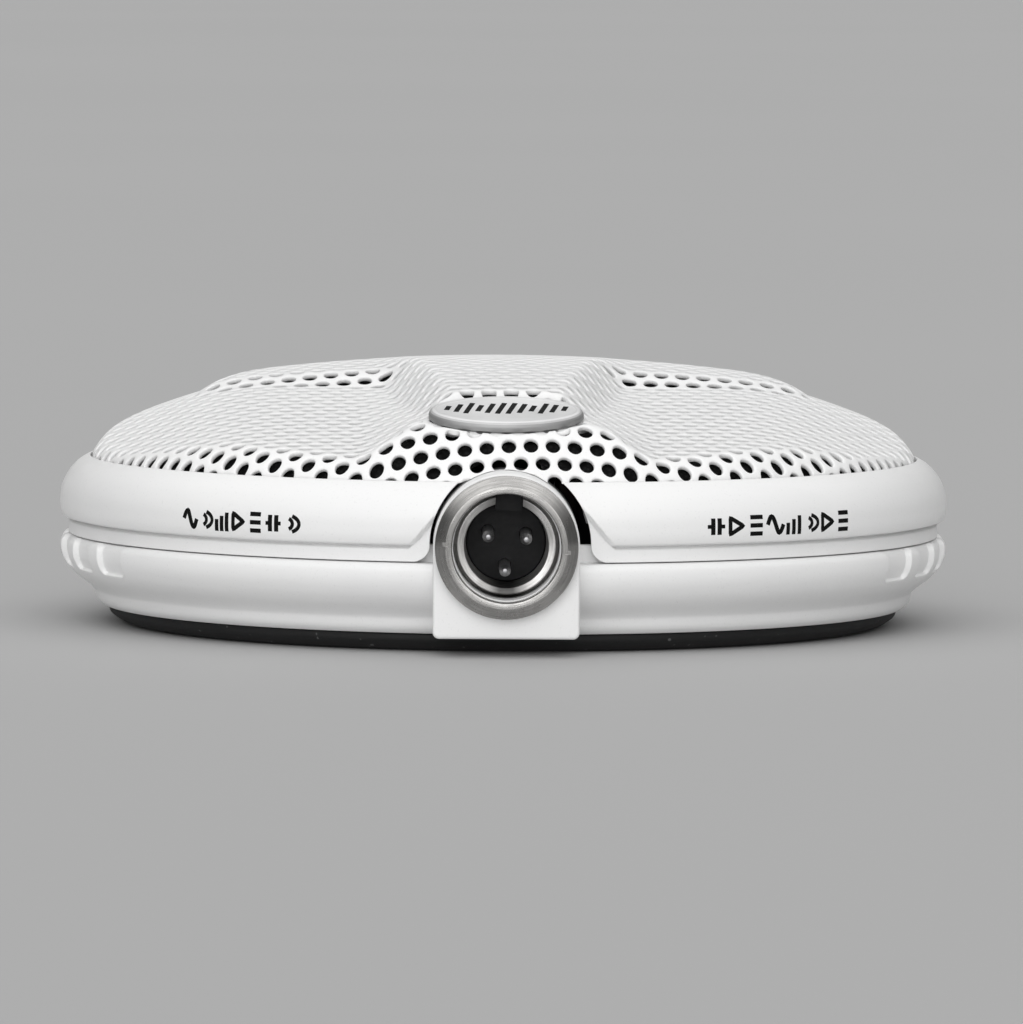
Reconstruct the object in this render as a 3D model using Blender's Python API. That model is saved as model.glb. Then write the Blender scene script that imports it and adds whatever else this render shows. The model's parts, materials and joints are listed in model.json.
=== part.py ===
"""Desktop boundary microphone: a low round table-top condenser microphone.

Frame: metres, +Z up, origin at the centre of the foot pad's underside.
The output connector faces -Y, which is called its front, and the capsule faces +Y.
Lengths are in millimetres and are scaled by MM where they meet Blender.
"""
import math

import bmesh
import bpy
import numpy as np
from mathutils import Matrix, Vector

MM = 0.001
FACETS = 48               # facets round the large turned parts
SHARP_ANGLE = math.radians(28)
MERGE_DISTANCE = 0.0001   # vertices closer than this are merged after a boolean
GAP = 0.1                 # clearance between stacked inner parts

# ---- shared dimensions ---------------------------------------------------
BODY_RADIUS = 40.0        # widest radius of both shells
BASE_BOTTOM = 1.62        # underside of the cast base
BASE_FLOOR = 4.1          # inside floor of the base
SHELL_SPLIT = 8.05        # parting line between base and upper shell
SEAM_HALF_GAP = 0.05      # distance of each shell's edge from the parting line
SHELL_INNER = 38.3
RIM_RADIUS = 37.2         # opening that the grille fills
RIM_Z = 15.0              # height of that opening's edge
FLANGE_RADIUS = 37.95     # grille flange and the ring under it

AXIS_Z = 9.6              # height of the connector axis
OPENING_BOTTOM = 7.0      # the cutters for the connector opening start at this height
OPENING_Y = (-46, -30)    # and run between these stations

HOUSING_SCREW_RADIUS = 33.8
HOUSING_SCREW_AZIMUTHS = (90.0, 210.0, 330.0)
BOARD_TOP = 8.2
BOARD_BOTTOM = 7.0
BOARD_SCREWS = ((-14.5, -21.5), (14.5, -21.5), (0.0, -3.0))
CAPSULE_Y = 18.0
CAPSULE_Z = 11.6
BRACKET_SCREW_X = 10.6
BRACKET_SCREWS = ((-BRACKET_SCREW_X, CAPSULE_Y), (BRACKET_SCREW_X, CAPSULE_Y))
BRACKET_FOOT_Z = 5.5      # underside of the capsule bracket's feet
BRACKET_THICK = 0.7

# Look: (base colour, roughness, metallic)
LOOKS = {
    "housing": ((0.80, 0.80, 0.79), 0.45, 0.0),
    "grille": ((0.84, 0.84, 0.83), 0.50, 0.0),
    "rubber": ((0.022, 0.022, 0.023), 0.75, 0.0),
    "nickel": ((0.62, 0.61, 0.59), 0.28, 1.0),
    "black_plastic": ((0.015, 0.015, 0.016), 0.45, 0.0),
    "badge": ((0.70, 0.70, 0.70), 0.30, 1.0),
    "steel": ((0.45, 0.45, 0.46), 0.35, 1.0),
    "gold": ((0.85, 0.62, 0.25), 0.25, 1.0),
    "foam": ((0.03, 0.03, 0.03), 0.95, 0.0),
    "laminate": ((0.03, 0.16, 0.07), 0.40, 0.0),
    "aluminium": ((0.75, 0.75, 0.76), 0.30, 1.0),
    "film_box": ((0.55, 0.10, 0.05), 0.40, 0.0),
    "insulation": ((0.35, 0.02, 0.02), 0.45, 0.0),
}


# ---- scene helpers -------------------------------------------------------
def give_material(obj, look):
    color, roughness, metallic = LOOKS[look]
    material = bpy.data.materials.new(obj.name + "_" + look)
    material.use_nodes = True
    shader = material.node_tree.nodes["Principled BSDF"]
    shader.inputs["Base Color"].default_value = (*color, 1.0)
    shader.inputs["Roughness"].default_value = roughness
    shader.inputs["Metallic"].default_value = metallic
    material.diffuse_color = (*color, 1.0)
    obj.data.materials.append(material)


def link(name, data):
    obj = bpy.data.objects.new(name, data)
    bpy.context.scene.collection.objects.link(obj)
    obj.parent = root
    return obj


def place(name, mesh, look=None, loc=(0, 0, 0), rot=(0, 0, 0)):
    """Puts a mesh in the scene as a part, or as a hidden helper when it has no look."""
    mesh.name = name
    obj = link(name, mesh)
    obj.location = [c * MM for c in loc]
    obj.rotation_euler = rot
    if look:
        give_material(obj, look)
    else:
        obj.hide_render = True
        obj.display_type = "WIRE"
    return obj


def boolean(target, mesh, how="DIFFERENCE", loc=(0, 0, 0), rot=(0, 0, 0)):
    """Cuts or joins with a helper mesh, applies the result and drops the helper."""
    helper = place("helper", mesh, None, loc, rot)
    modifier = target.modifiers.new(how.lower(), "BOOLEAN")
    modifier.operation = how
    modifier.solver = "EXACT"
    modifier.object = helper
    bpy.context.view_layer.update()
    graph = bpy.context.evaluated_depsgraph_get()
    made = bpy.data.meshes.new_from_object(target.evaluated_get(graph))
    target.modifiers.clear()
    old = target.data
    target.data = made
    made.name = target.name
    work = bmesh.new()
    work.from_mesh(made)
    bmesh.ops.remove_doubles(work, verts=work.verts, dist=MERGE_DISTANCE * MM)
    work.to_mesh(made)
    work.free()
    # The part keeps its own material only.
    while len(made.materials) > 1:
        made.materials.pop()
    made.set_sharp_from_angle(angle=SHARP_ANGLE)
    bpy.data.meshes.remove(old)
    bpy.data.objects.remove(helper, do_unlink=True)


# ---- plane outlines ------------------------------------------------------
def polar(radius, angle):
    return radius * math.cos(angle), radius * math.sin(angle)


def arc(radius, start, sweep, steps, centre=(0, 0)):
    """Points along an arc, both ends included."""
    points = [polar(radius, start + sweep * k / steps) for k in range(steps + 1)]
    return [(centre[0] + x, centre[1] + y) for x, y in points]


def oval(half_x, half_y, count=32):
    angles = [2 * math.pi * k / count for k in range(count)]
    return [(half_x * math.cos(angle), half_y * math.sin(angle)) for angle in angles]


# ---- mesh helpers --------------------------------------------------------
def finish_mesh(work):
    bmesh.ops.recalc_face_normals(work, faces=work.faces)
    mesh = bpy.data.meshes.new("shape")
    work.to_mesh(mesh)
    work.free()
    mesh.shade_smooth()
    mesh.set_sharp_from_angle(angle=SHARP_ANGLE)
    return mesh


def add_circle(work, radius, z, facets=FACETS, phase=0.0):
    return [
        work.verts.new((
            radius * MM * math.cos(phase + 2 * math.pi * k / facets),
            radius * MM * math.sin(phase + 2 * math.pi * k / facets),
            z * MM,
        ))
        for k in range(facets)
    ]


def bridge(work, lower, upper):
    """Faces between two closed rows of vertices; a row of one vertex is a pole."""
    count = max(len(lower), len(upper))
    if count == 1:
        return
    for k in range(count):
        n = (k + 1) % count
        if len(lower) == 1:
            work.faces.new((lower[0], upper[k], upper[n]))
        elif len(upper) == 1:
            work.faces.new((lower[k], upper[0], lower[n]))
        else:
            work.faces.new((lower[k], upper[k], upper[n], lower[n]))


def turned(outline, facets=FACETS, phase=0.0):
    """Solid of revolution about +Z from a closed (radius, height) outline."""
    work = bmesh.new()
    rows = []
    for radius, z in outline:
        if radius < 1e-6:
            rows.append([work.verts.new((0, 0, z * MM))])
        else:
            rows.append(add_circle(work, radius, z, facets, phase))
    for lower, upper in zip(rows, rows[1:] + rows[:1]):
        bridge(work, lower, upper)
    return finish_mesh(work)


def prism(outline, low, high):
    """Straight prism on a closed (x, y) outline between two heights."""
    work = bmesh.new()
    face = work.faces.new([work.verts.new((x * MM, y * MM, low * MM)) for x, y in outline])
    lifted = bmesh.ops.extrude_face_region(work, geom=[face])
    for item in lifted["geom"]:
        if isinstance(item, bmesh.types.BMVert):
            item.co.z = high * MM
    return finish_mesh(work)


def prism_along_y(outline, front, rear):
    """Prism on an (x, z) outline between two Y stations."""
    mesh = prism(outline, -rear, -front)
    mesh.transform(Matrix.Rotation(math.pi / 2, 4, "X"))
    return mesh


def block(x, y, z):
    """Box from a (low, high) pair on each axis."""
    return prism([(x[0], y[0]), (x[1], y[0]), (x[1], y[1]), (x[0], y[1])], *z)


def rod(radius, low, high, facets=12, phase=0.0):
    return turned([(0, low), (radius, low), (radius, high), (0, high)], facets, phase)


def tube(inner, outer, low, high, facets=24):
    return turned([(inner, low), (outer, low), (outer, high), (inner, high)], facets)


def shift(x, y, z):
    return Matrix.Translation(Vector((x, y, z)) * MM)


def moved(mesh, x, y):
    mesh.transform(shift(x, y, 0))
    return mesh


def joined(meshes):
    work = bmesh.new()
    for mesh in meshes:
        work.from_mesh(mesh)
    return finish_mesh(work)


# ---- connector opening ---------------------------------------------------
def tombstone(half, foot):
    """(x, z) outline: a round top about the connector axis, closed by foot points from -X to +X."""
    return arc(half, 0, math.pi, 16, (0, AXIS_Z)) + foot


def cut_opening(target, half, foot=None):
    """Cuts the connector opening, with a square foot unless another is given."""
    foot = foot or [(-half, OPENING_BOTTOM), (half, OPENING_BOTTOM)]
    boolean(target, prism_along_y(tombstone(half, foot), *OPENING_Y))


# ---- foot pad ------------------------------------------------------------
PAD_TOP = 1.55
PAD_RADIUS = 35.54


def build_foot_pad():
    place("base_pad", turned([
        (0, 0), (33.35, 0), (34.4, 0.2), (35.2, 0.55),
        (PAD_RADIUS, 1.0), (PAD_RADIUS, PAD_TOP), (0, PAD_TOP),
    ]), "rubber")


# ---- cast base -----------------------------------------------------------
BASE_EDGE = SHELL_SPLIT - SEAM_HALF_GAP
SPIGOT_OUTER, SPIGOT_INNER = 38.0, 37.1   # upright lip inside the upper shell
SPIGOT_TOP = 9.6
# (radius, height)
BASE_OUTLINE = [
    (0, BASE_BOTTOM), (36.05, BASE_BOTTOM), (36.8, 2.3), (36.95, 3.05), (37.8, 3.85),
    (38.8, 4.7), (39.5, 5.5), (39.9, 6.3), (BODY_RADIUS, 7.0), (39.9, 7.6),
    (39.45, BASE_EDGE), (SPIGOT_OUTER, BASE_EDGE), (SPIGOT_OUTER, SPIGOT_TOP),
    (SPIGOT_INNER, SPIGOT_TOP), (SPIGOT_INNER, 4.9), (36.3, BASE_FLOOR), (0, BASE_FLOOR),
]

BOSS_HALF = 6.35          # half width and arch radius of the connector boss
BOSS_BOTTOM = BASE_BOTTOM + 0.03
BOSS_CORNER = 0.8
BOSS_FRONT = -41.0
BOSS_REAR = -31.0
BOSS_BORE = 4.6
BORE_OVERRUN = 2          # the bore's cutter passes both ends of the boss

HOUSING_SCREW_SITES = [
    polar(HOUSING_SCREW_RADIUS, math.radians(azimuth)) for azimuth in HOUSING_SCREW_AZIMUTHS]
POST_ROOT = BASE_FLOOR - 0.5
POST_PHASE = 0.13         # angle of the first facet, radians
# (sites, radius, top)
POSTS = (
    (HOUSING_SCREW_SITES, 2.4, 9.5),
    (BOARD_SCREWS, 2.1, BOARD_BOTTOM - GAP),
    (BRACKET_SCREWS, 2.1, BRACKET_FOOT_Z - GAP),
)
# Counterbored screw hole, (radius, height)
THROUGH_HOLE = [(0, 1.0), (2.3, 1.0), (2.3, 3.3), (1.3, 3.3), (1.3, 10), (0, 10)]
PILOT_RADIUS = 1.1
PILOT_TOP = 8
PILOT_PHASE = 0.21
# (sites, bottom)
PILOT_HOLES = ((BOARD_SCREWS, 4.7), (BRACKET_SCREWS, 2.9))

NOTCHES_PER_SIDE = 7
NOTCH_PITCH = math.radians(9.5)
NOTCH_WIDTH = math.radians(6.0)
NOTCH_FLOOR_RADIUS = 39.1
NOTCH_OUTER_RADIUS = 41.5
NOTCH_BOTTOM = 5.3
NOTCH_TOP = 8.6


def boss_mesh():
    """Connector boss with its two lower corners rounded."""
    inset, corner_z = BOSS_HALF - BOSS_CORNER, BOSS_BOTTOM + BOSS_CORNER
    foot = arc(BOSS_CORNER, math.pi, math.pi / 2, 3, (-inset, corner_z))
    foot += arc(BOSS_CORNER, 1.5 * math.pi, math.pi / 2, 3, (inset, corner_z))
    return prism_along_y(tombstone(BOSS_HALF, foot), BOSS_FRONT, BOSS_REAR)


def base_holes():
    """Connector bore, housing screw holes and pilot holes."""
    circle = [(x, AXIS_Z + z) for x, z in oval(BOSS_BORE, BOSS_BORE)]
    holes = [prism_along_y(circle, BOSS_FRONT - BORE_OVERRUN, BOSS_REAR + BORE_OVERRUN)]
    for x, y in HOUSING_SCREW_SITES:
        holes.append(moved(turned(THROUGH_HOLE, 12, POST_PHASE), x, y))
    for sites, bottom in PILOT_HOLES:
        for x, y in sites:
            holes.append(moved(rod(PILOT_RADIUS, bottom, PILOT_TOP, phase=PILOT_PHASE), x, y))
    return joined(holes)


def grip_notches():
    """Rows of notches round the +X and -X sides."""
    notches = []
    for side in (0.0, math.pi):
        for k in range(NOTCHES_PER_SIDE):
            middle = side + (k - (NOTCHES_PER_SIDE - 1) / 2) * NOTCH_PITCH
            start, end = middle - NOTCH_WIDTH / 2, middle + NOTCH_WIDTH / 2
            notches.append(prism([
                polar(NOTCH_FLOOR_RADIUS, start), polar(NOTCH_OUTER_RADIUS, start),
                polar(NOTCH_OUTER_RADIUS, end), polar(NOTCH_FLOOR_RADIUS, end),
            ], NOTCH_BOTTOM, NOTCH_TOP))
    return joined(notches)


def build_base():
    base = place("base_housing", turned(BASE_OUTLINE), "housing")
    boolean(base, boss_mesh(), "UNION")
    boolean(base, joined([
        moved(rod(radius, POST_ROOT, top, 16, POST_PHASE), x, y)
        for sites, radius, top in POSTS for x, y in sites
    ]), "UNION")
    boolean(base, base_holes())
    boolean(base, grip_notches())


# ---- upper shell ---------------------------------------------------------
SHELL_EDGE = SHELL_SPLIT + SEAM_HALF_GAP
# (radius, height)
SHELL_OUTLINE = [
    (SHELL_INNER, SHELL_EDGE), (39.25, SHELL_EDGE), (39.25, 9.33), (39.75, 9.45),
    (39.95, 10.2), (BODY_RADIUS, 11.0), (39.9, 12.0), (39.5, 13.0), (38.9, 13.9),
    (38.2, 14.55), (37.6, 14.9), (37.25, RIM_Z), (RIM_RADIUS, 13.6), (SHELL_INNER, 13.6),
]
LUG_RADIUS = 2.6
LUG_REACH = 5.0           # from the screw axis outward into the wall
LUG_BOTTOM, LUG_TOP = 9.85, 11.15
LUG_HOLE_RADIUS = 1.25

SHELL_OPENING = 7.0       # arch radius of the connector opening
# Flared foot of the opening on its -X side, (x, z)
OPENING_FLARE = [(-7.08, 9.25), (-7.45, 8.65), (-8.2, 8.2), (-9.4, 8.06), (-9.4, OPENING_BOTTOM)]

RECESS_STATIONS = (-10.3, -9.0, -7.6, -6.2, -4.7, -2.0, 0.0, 2.0, 4.7, 6.2, 7.6, 9.0, 10.3)
RECESS_HALF = RECESS_STATIONS[-1]
RECESS_FRONT = -45
RECESS_RADIUS = 39.3      # the recess is cut back to this radius
RECESS_BOTTOM = 9.2
RECESS_TOP_LOW = 9.36     # height of the top edge at the two ends
RECESS_TOP_HIGH = 14.6    # and over the middle
RECESS_RUN = 5.6          # length of each diagonal in X
RECESS_BOW = 0.85         # exponent that bows the diagonals


def lug_meshes():
    """Screw lugs, round toward the centre and square toward the wall."""
    outline = arc(LUG_RADIUS, math.pi / 2, math.pi, 8)
    outline += [(LUG_REACH, -LUG_RADIUS), (LUG_REACH, LUG_RADIUS)]
    lugs = []
    for azimuth in HOUSING_SCREW_AZIMUTHS:
        lug = moved(prism(outline, LUG_BOTTOM, LUG_TOP), HOUSING_SCREW_RADIUS, 0)
        lug.transform(Matrix.Rotation(math.radians(azimuth), 4, "Z"))
        lugs.append(lug)
    return joined(lugs)


def flank_recess():
    """Curved slab that takes the band back beside the opening, under two diagonal edges."""
    work = bmesh.new()
    rows = []
    for x in RECESS_STATIONS:
        climb = min(1.0, (RECESS_HALF - abs(x)) / RECESS_RUN) ** RECESS_BOW
        top = RECESS_TOP_LOW + (RECESS_TOP_HIGH - RECESS_TOP_LOW) * climb
        inner = -math.sqrt(RECESS_RADIUS ** 2 - x ** 2)
        section = ((RECESS_FRONT, RECESS_BOTTOM), (inner, RECESS_BOTTOM),
                   (inner, top), (RECESS_FRONT, top))
        rows.append([work.verts.new((x * MM, y * MM, z * MM)) for y, z in section])
    for row, following in zip(rows, rows[1:]):
        bridge(work, row, following)
    work.faces.new(rows[0])
    work.faces.new(rows[-1])
    return finish_mesh(work)


def build_upper_shell():
    shell = place("upper_shell", turned(SHELL_OUTLINE), "housing")
    boolean(shell, lug_meshes(), "UNION")
    for x, y in HOUSING_SCREW_SITES:
        boolean(shell, rod(LUG_HOLE_RADIUS, 9.0, 12.0, phase=0.2), loc=(x, y, 0))
    mirrored = [(-x, z) for x, z in reversed(OPENING_FLARE)]
    cut_opening(shell, SHELL_OPENING, OPENING_FLARE + mirrored)
    boolean(shell, flank_recess())


# ---- grille surface ------------------------------------------------------
TOP_Z = 23.8              # crown of the raised platform
CROWN_Y = 2.0             # station of that crown
CROWN_SPREAD = 370        # the platform falls by distance squared over this
SHOULDER_Z = 21.42        # height of the low shoulders before they fall away
PLATFORM_BOW = 0.004      # how far the platform's edge bows with x squared
GENTLE_SHARE = 0.48       # part of the platform's rise taken by the gentler ramp
FLARE_RADIUS = 30         # the ridge widens outside this radius
RIDGE_HALF = 5.8          # half width of the ridge, before
RIDGE_FLARE = 0.75        # widening per millimetre of flare and
RIDGE_TAPER = 0.13        # widening per millimetre beyond
RIDGE_TAPER_Y = -26       # this station
# Flank slope and the length over which it blends into the top: general value, change
# at the middle of the connector side, change at the +X and -X sides
FLANK_SLOPE, SLOPE_AT_NOSE, SLOPE_AT_SIDE = 1.42, -0.42, 0.50
FLANK_BLEND, BLEND_AT_NOSE, BLEND_AT_SIDE = 1.75, 0.35, -0.50
GRADIENT_STEP = 0.3       # half span used to measure the surface's slope


def soft_min(first, second, blend):
    share = np.clip(0.5 + 0.5 * (second - first) / blend, 0, 1)
    return second + (first - second) * share - blend * share * (1 - share)


def ramp(value, centre, width):
    """Smooth rise from 0 to 1 over a width about a centre."""
    part = np.clip((value - centre) / width + 0.5, 0, 1)
    return part * part * (3 - 2 * part)


def bend(value, start, run, rise):
    """Close to zero before start, then climbing by rise for every run."""
    return rise * np.logaddexp(0, (value - start) / run)


def grille_height(x, y):
    """Outer height of the grille sheet.

    A sloping flank, low shoulders, a raised platform toward +Y and a ridge toward -Y.
    """
    radius = np.hypot(x, y)
    across = np.abs(x)
    platform = TOP_Z - (x ** 2 + (y - CROWN_Y) ** 2) / CROWN_SPREAD

    # The fall toward -Y is weaker near the middle, where x is small.
    fall_share = 0.40 + 0.60 * ramp(across, centre=10.0, width=7.0)
    shoulder = (
        SHOULDER_Z
        - bend(across, start=25.0, run=2.2, rise=0.84)
        - fall_share * bend(-y, start=-4.0, run=3.0, rise=0.38)
        - bend(y, start=14.0, run=3.0, rise=0.30)
    )

    edge = y - PLATFORM_BOW * x ** 2
    on_platform = (
        GENTLE_SHARE * ramp(edge, centre=9.0, width=13.0)
        + (1 - GENTLE_SHARE) * ramp(edge, centre=3.3, width=4.2)
    ) * (1 - ramp(radius, centre=28.2, width=3.2))

    flare = np.maximum(radius - FLARE_RADIUS, 0)
    half = RIDGE_HALF + RIDGE_FLARE * flare + RIDGE_TAPER * np.maximum(y - RIDGE_TAPER_Y, 0)
    on_ridge = 1 - ramp(across, centre=half, width=3.6 + 0.8 * flare)
    on_ridge = on_ridge * (1 - ramp(y, centre=16.0, width=10.0))
    raised = 1 - (1 - on_platform) * (1 - on_ridge)

    nose = np.where(y < 0, 1 - ramp(across, centre=9.5, width=7.0), 0.0)
    side = ramp(across, centre=30.0, width=10.0)
    slope = FLANK_SLOPE + SLOPE_AT_NOSE * nose + SLOPE_AT_SIDE * side
    blend = FLANK_BLEND + BLEND_AT_NOSE * nose + BLEND_AT_SIDE * side
    flank = RIM_Z + slope * (RIM_RADIUS - radius)
    return soft_min(shoulder + raised * (platform - shoulder), flank, blend)


def offset_height(x, y, depth):
    """Height of a surface lying a given distance inside the grille's outer face."""
    reach = GRADIENT_STEP
    slope_x = (grille_height(x + reach, y) - grille_height(x - reach, y)) / (2 * reach)
    slope_y = (grille_height(x, y + reach) - grille_height(x, y - reach)) / (2 * reach)
    return grille_height(x, y) - depth * np.sqrt(1 + slope_x ** 2 + slope_y ** 2)


def add_surface(work, radii, depth):
    """Rows of vertices on an offset surface, from the centre outward."""
    rows = [[work.verts.new((0, 0, float(offset_height(0.0, 0.0, depth)) * MM))]]
    for radius in radii:
        rows.append([
            work.verts.new((x * MM, y * MM, float(offset_height(x, y, depth)) * MM))
            for x, y in oval(radius, radius, FACETS)
        ])
    return rows


def formed_sheet(radii, outer_depth, inner_depth, rim):
    """Domed sheet between two depths, closed at its edge by a (radius, height) outline."""
    work = bmesh.new()
    top = add_surface(work, radii, outer_depth)
    under = add_surface(work, radii, inner_depth)
    edge = [add_circle(work, radius, z) for radius, z in rim]
    rows = top + edge + under[::-1]
    for row, following in zip(rows, rows[1:]):
        bridge(work, row, following)
    return finish_mesh(work)


# ---- grille, liner, retaining ring and badge -----------------------------
SHEET = 0.6               # thickness of the grille sheet
GRILLE_RADII = (5.0, 10.0, 15.0, 20.0, 24.0, 27.0, 29.0, 31.0, 33.5, 35.9)
# Rim and flange, (radius, height)
GRILLE_RIM = [(36.95, 15.2), (36.95, 13.3), (FLANGE_RADIUS, 13.3), (FLANGE_RADIUS, 12.7), (36.2, 12.7)]
GRILLE_OPENING = 6.65     # arch radius of the connector opening in the grille
INNER_OPENING = 7.2       # and in the liner and the retaining ring
LINER_OUTER_DEPTH, LINER_INNER_DEPTH = 1.6, 2.3

BADGE_Y = -28.0
BADGE_Z = 20.83           # top face of the badge at its centre
BADGE_TILT = math.radians(14.5)
BADGE_HALF_X, BADGE_HALF_Y = 6.8, 4.1
BADGE_THICK = 0.95


def badge_block(half_x, half_y, floor, lift):
    """Oval block about the badge.

    Its floor is parallel to the badge, at a distance along the badge's normal, and its
    top follows the grille's outer face, raised by lift.
    """
    frame = shift(0, BADGE_Y, BADGE_Z) @ Matrix.Rotation(BADGE_TILT, 4, "X")
    drop = (floor + BADGE_THICK / 2) * MM / math.cos(BADGE_TILT)
    work = bmesh.new()
    low, high = [], []
    for x, y in oval(half_x, half_y, 24):
        point = frame @ (Vector((x, y, -BADGE_THICK / 2)) * MM)
        low.append(work.verts.new((point.x, point.y, point.z + drop)))
        top = float(grille_height(point.x / MM, point.y / MM)) + lift
        high.append(work.verts.new((point.x, point.y, top * MM)))
    bridge(work, low, high)
    work.faces.new(low)
    middle = work.verts.new(sum((vert.co for vert in high), Vector()) / len(high))
    bridge(work, high, [middle])
    return finish_mesh(work)


def build_grille():
    grille = place("grille", formed_sheet(GRILLE_RADII, 0.0, SHEET, GRILLE_RIM), "grille")
    seat = badge_block(half_x=7.9, half_y=5.3, floor=-2.1, lift=-0.25)
    boolean(grille, seat, "UNION")
    boolean(grille, badge_block(half_x=7.15, half_y=4.55, floor=-1.2, lift=3.0))
    cut_opening(grille, GRILLE_OPENING)


def build_liner():
    sheet = formed_sheet(GRILLE_RADII[:-1], LINER_OUTER_DEPTH, LINER_INNER_DEPTH, [])
    liner = place("grille_liner", sheet, "foam")
    boolean(liner, badge_block(half_x=8.3, half_y=5.7, floor=-6.0, lift=6.0))
    cut_opening(liner, INNER_OPENING)


def build_retaining_ring():
    retainer = place("grille_retaining_ring",
                     tube(35.4, FLANGE_RADIUS, 11.45, 12.4, FACETS), "steel")
    cut_opening(retainer, INNER_OPENING)


def build_badge():
    """Tilted oval plate with its upper rim rounded."""
    badge = place("badge", prism(oval(BADGE_HALF_X, BADGE_HALF_Y), -BADGE_THICK, 0.0), "badge",
                  (0, BADGE_Y, BADGE_Z), (BADGE_TILT, 0, 0))
    work = bmesh.new()
    work.from_mesh(badge.data)
    rim = [edge for edge in work.edges if all(vert.co.z > -0.1 * MM for vert in edge.verts)]
    bmesh.ops.bevel(work, geom=rim, offset=0.35 * MM, segments=2, affect="EDGES", profile=0.5)
    work.to_mesh(badge.data)
    work.free()
    badge.data.set_sharp_from_angle(angle=SHARP_ANGLE)


# ---- connector -----------------------------------------------------------
# Local +Z points to world -Y, so local height z is the station Y = -z.
ROLL = math.radians(3.5)  # the receptacle is clocked slightly in its boss
CONNECTOR_TURN = (math.pi / 2, ROLL, 0)
NUT_REAR = 41.1
NUT_FRONT = 42.7
NUT_RADIUS = 6.2
NUT_BORE = 4.75
NUT_SLOT_X = 5.35         # centre of each slot in the nut's face
FLANGE_OUTER = 5.15       # barrel's rear flange and the washer
BARREL_REAR = 29.2
BARREL_STEP = 37.2        # start of the reduced neck
BARREL_FRONT = 38.9
BARREL_OUTER = 4.52
BARREL_INNER = 3.62
BARREL_NECK = 4.27
INSERT_RADIUS = 3.5
INSERT_REAR = 28.4
INSERT_FACE = 34.0
PIN_CIRCLE = 1.9          # radius of the circle through the three contacts
PIN_DROP = 0.12           # that circle's centre lies this far below the axis
PIN_ANGLES = (150.0, 30.0, 270.0)
PIN_RADIUS = 0.5
PIN_HOLE_RADIUS = 0.62
PIN_REAR = 26.4
PIN_SITES = [(x, y - PIN_DROP)
             for x, y in (polar(PIN_CIRCLE, math.radians(angle)) for angle in PIN_ANGLES)]


def on_axis(name, mesh, look):
    return place(name, mesh, look, (0, 0, AXIS_Z), CONNECTOR_TURN)


def cut_on_axis(target, mesh):
    boolean(target, mesh, loc=(0, 0, AXIS_Z), rot=CONNECTOR_TURN)


def build_nut():
    nut = on_axis("connector_nut", turned([
        (NUT_BORE, NUT_REAR), (NUT_RADIUS, NUT_REAR), (NUT_RADIUS, 41.95),
        (5.3, NUT_FRONT), (NUT_BORE, NUT_FRONT),
    ], 32), "nickel")
    cut_on_axis(nut, joined([
        block((x - 0.45, x + 0.45), (-0.3, 0.3), (42.2, 43.5)) for x in (-NUT_SLOT_X, NUT_SLOT_X)]))


def build_barrel():
    barrel = on_axis("connector_shell", turned([
        (BARREL_INNER, BARREL_REAR), (FLANGE_OUTER, BARREL_REAR), (FLANGE_OUTER, 30.3),
        (BARREL_OUTER, 30.3), (BARREL_OUTER, BARREL_STEP), (BARREL_NECK, BARREL_STEP),
        (BARREL_NECK, BARREL_FRONT), (3.68, BARREL_FRONT - 0.1), (BARREL_INNER, INSERT_FACE),
    ], 32), "nickel")
    keyway = block((-1.19, 1.19), (3.0, 4.4), (35.0, 44.0))
    cut_on_axis(barrel, keyway)
    on_axis("connector_washer", tube(4.6, FLANGE_OUTER, 30.42, 30.88), "steel")


def build_contacts():
    """Insulating insert and the three contact pins through it."""
    insert = on_axis("connector_insert", rod(INSERT_RADIUS, INSERT_REAR, INSERT_FACE, 32),
                     "black_plastic")
    cut_on_axis(insert, joined([moved(rod(PIN_HOLE_RADIUS, 27.5, 35), *site) for site in PIN_SITES]))
    outline = [(0, PIN_REAR), (PIN_RADIUS, PIN_REAR), (PIN_RADIUS, 41.4), (0.3, 41.8), (0, 41.8)]
    for number, site in enumerate(PIN_SITES, 1):
        on_axis(f"contact_pin_{number}", moved(turned(outline, 12), *site), "gold")


# ---- screws --------------------------------------------------------------
def screw(name, loc, head_radius, head_height, shank_radius, length, rot=(0, 0, 0)):
    """Slotted pan-head screw, head toward local +Z with its underside at local zero."""
    mesh = turned([
        (0, -length), (shank_radius * 0.6, -length), (shank_radius, -length + 0.6),
        (shank_radius, 0), (head_radius, 0), (head_radius, head_height * 0.55),
        (head_radius * 0.8, head_height), (0, head_height),
    ], 10)
    obj = place(name, mesh, "steel", loc, rot)
    half = head_radius * 0.7
    slot = block((-half, half), (-0.25, 0.25), (head_height * 0.45, head_height + 1))
    boolean(obj, slot, loc=loc, rot=rot)


def build_screws():
    """Housing screws, heads down in the base, and board screws."""
    for number, (x, y) in enumerate(HOUSING_SCREW_SITES, 1):
        screw(f"housing_screw_{number}", (x, y, 3.15), head_radius=2.05, head_height=1.3,
              shank_radius=1.0, length=7.9, rot=(math.pi, 0, 0))
    for number, (x, y) in enumerate(BOARD_SCREWS, 1):
        screw(f"board_screw_{number}", (x, y, COMPONENT_Z), head_radius=1.7, head_height=1.2,
              shank_radius=0.85, length=3.3)


# ---- circuit board -------------------------------------------------------
COMPONENT_Z = BOARD_TOP + GAP
BOARD_OUTLINE = [(-18, -24.4), (18, -24.4), (18, -8), (9, 0), (-9, 0), (-18, -8)]
# (x, y, radius, height)
CAPACITORS = (
    (-10.5, -10.5, 2.5, 5.6),
    (-4.6, -10.5, 2.5, 5.6),
    (-7.5, -16.6, 2.0, 5.2),
)
CAPSULE_HEADER = (-6.6, -4.2)
OUTPUT_HEADER = (0.0, -22.6)
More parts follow.
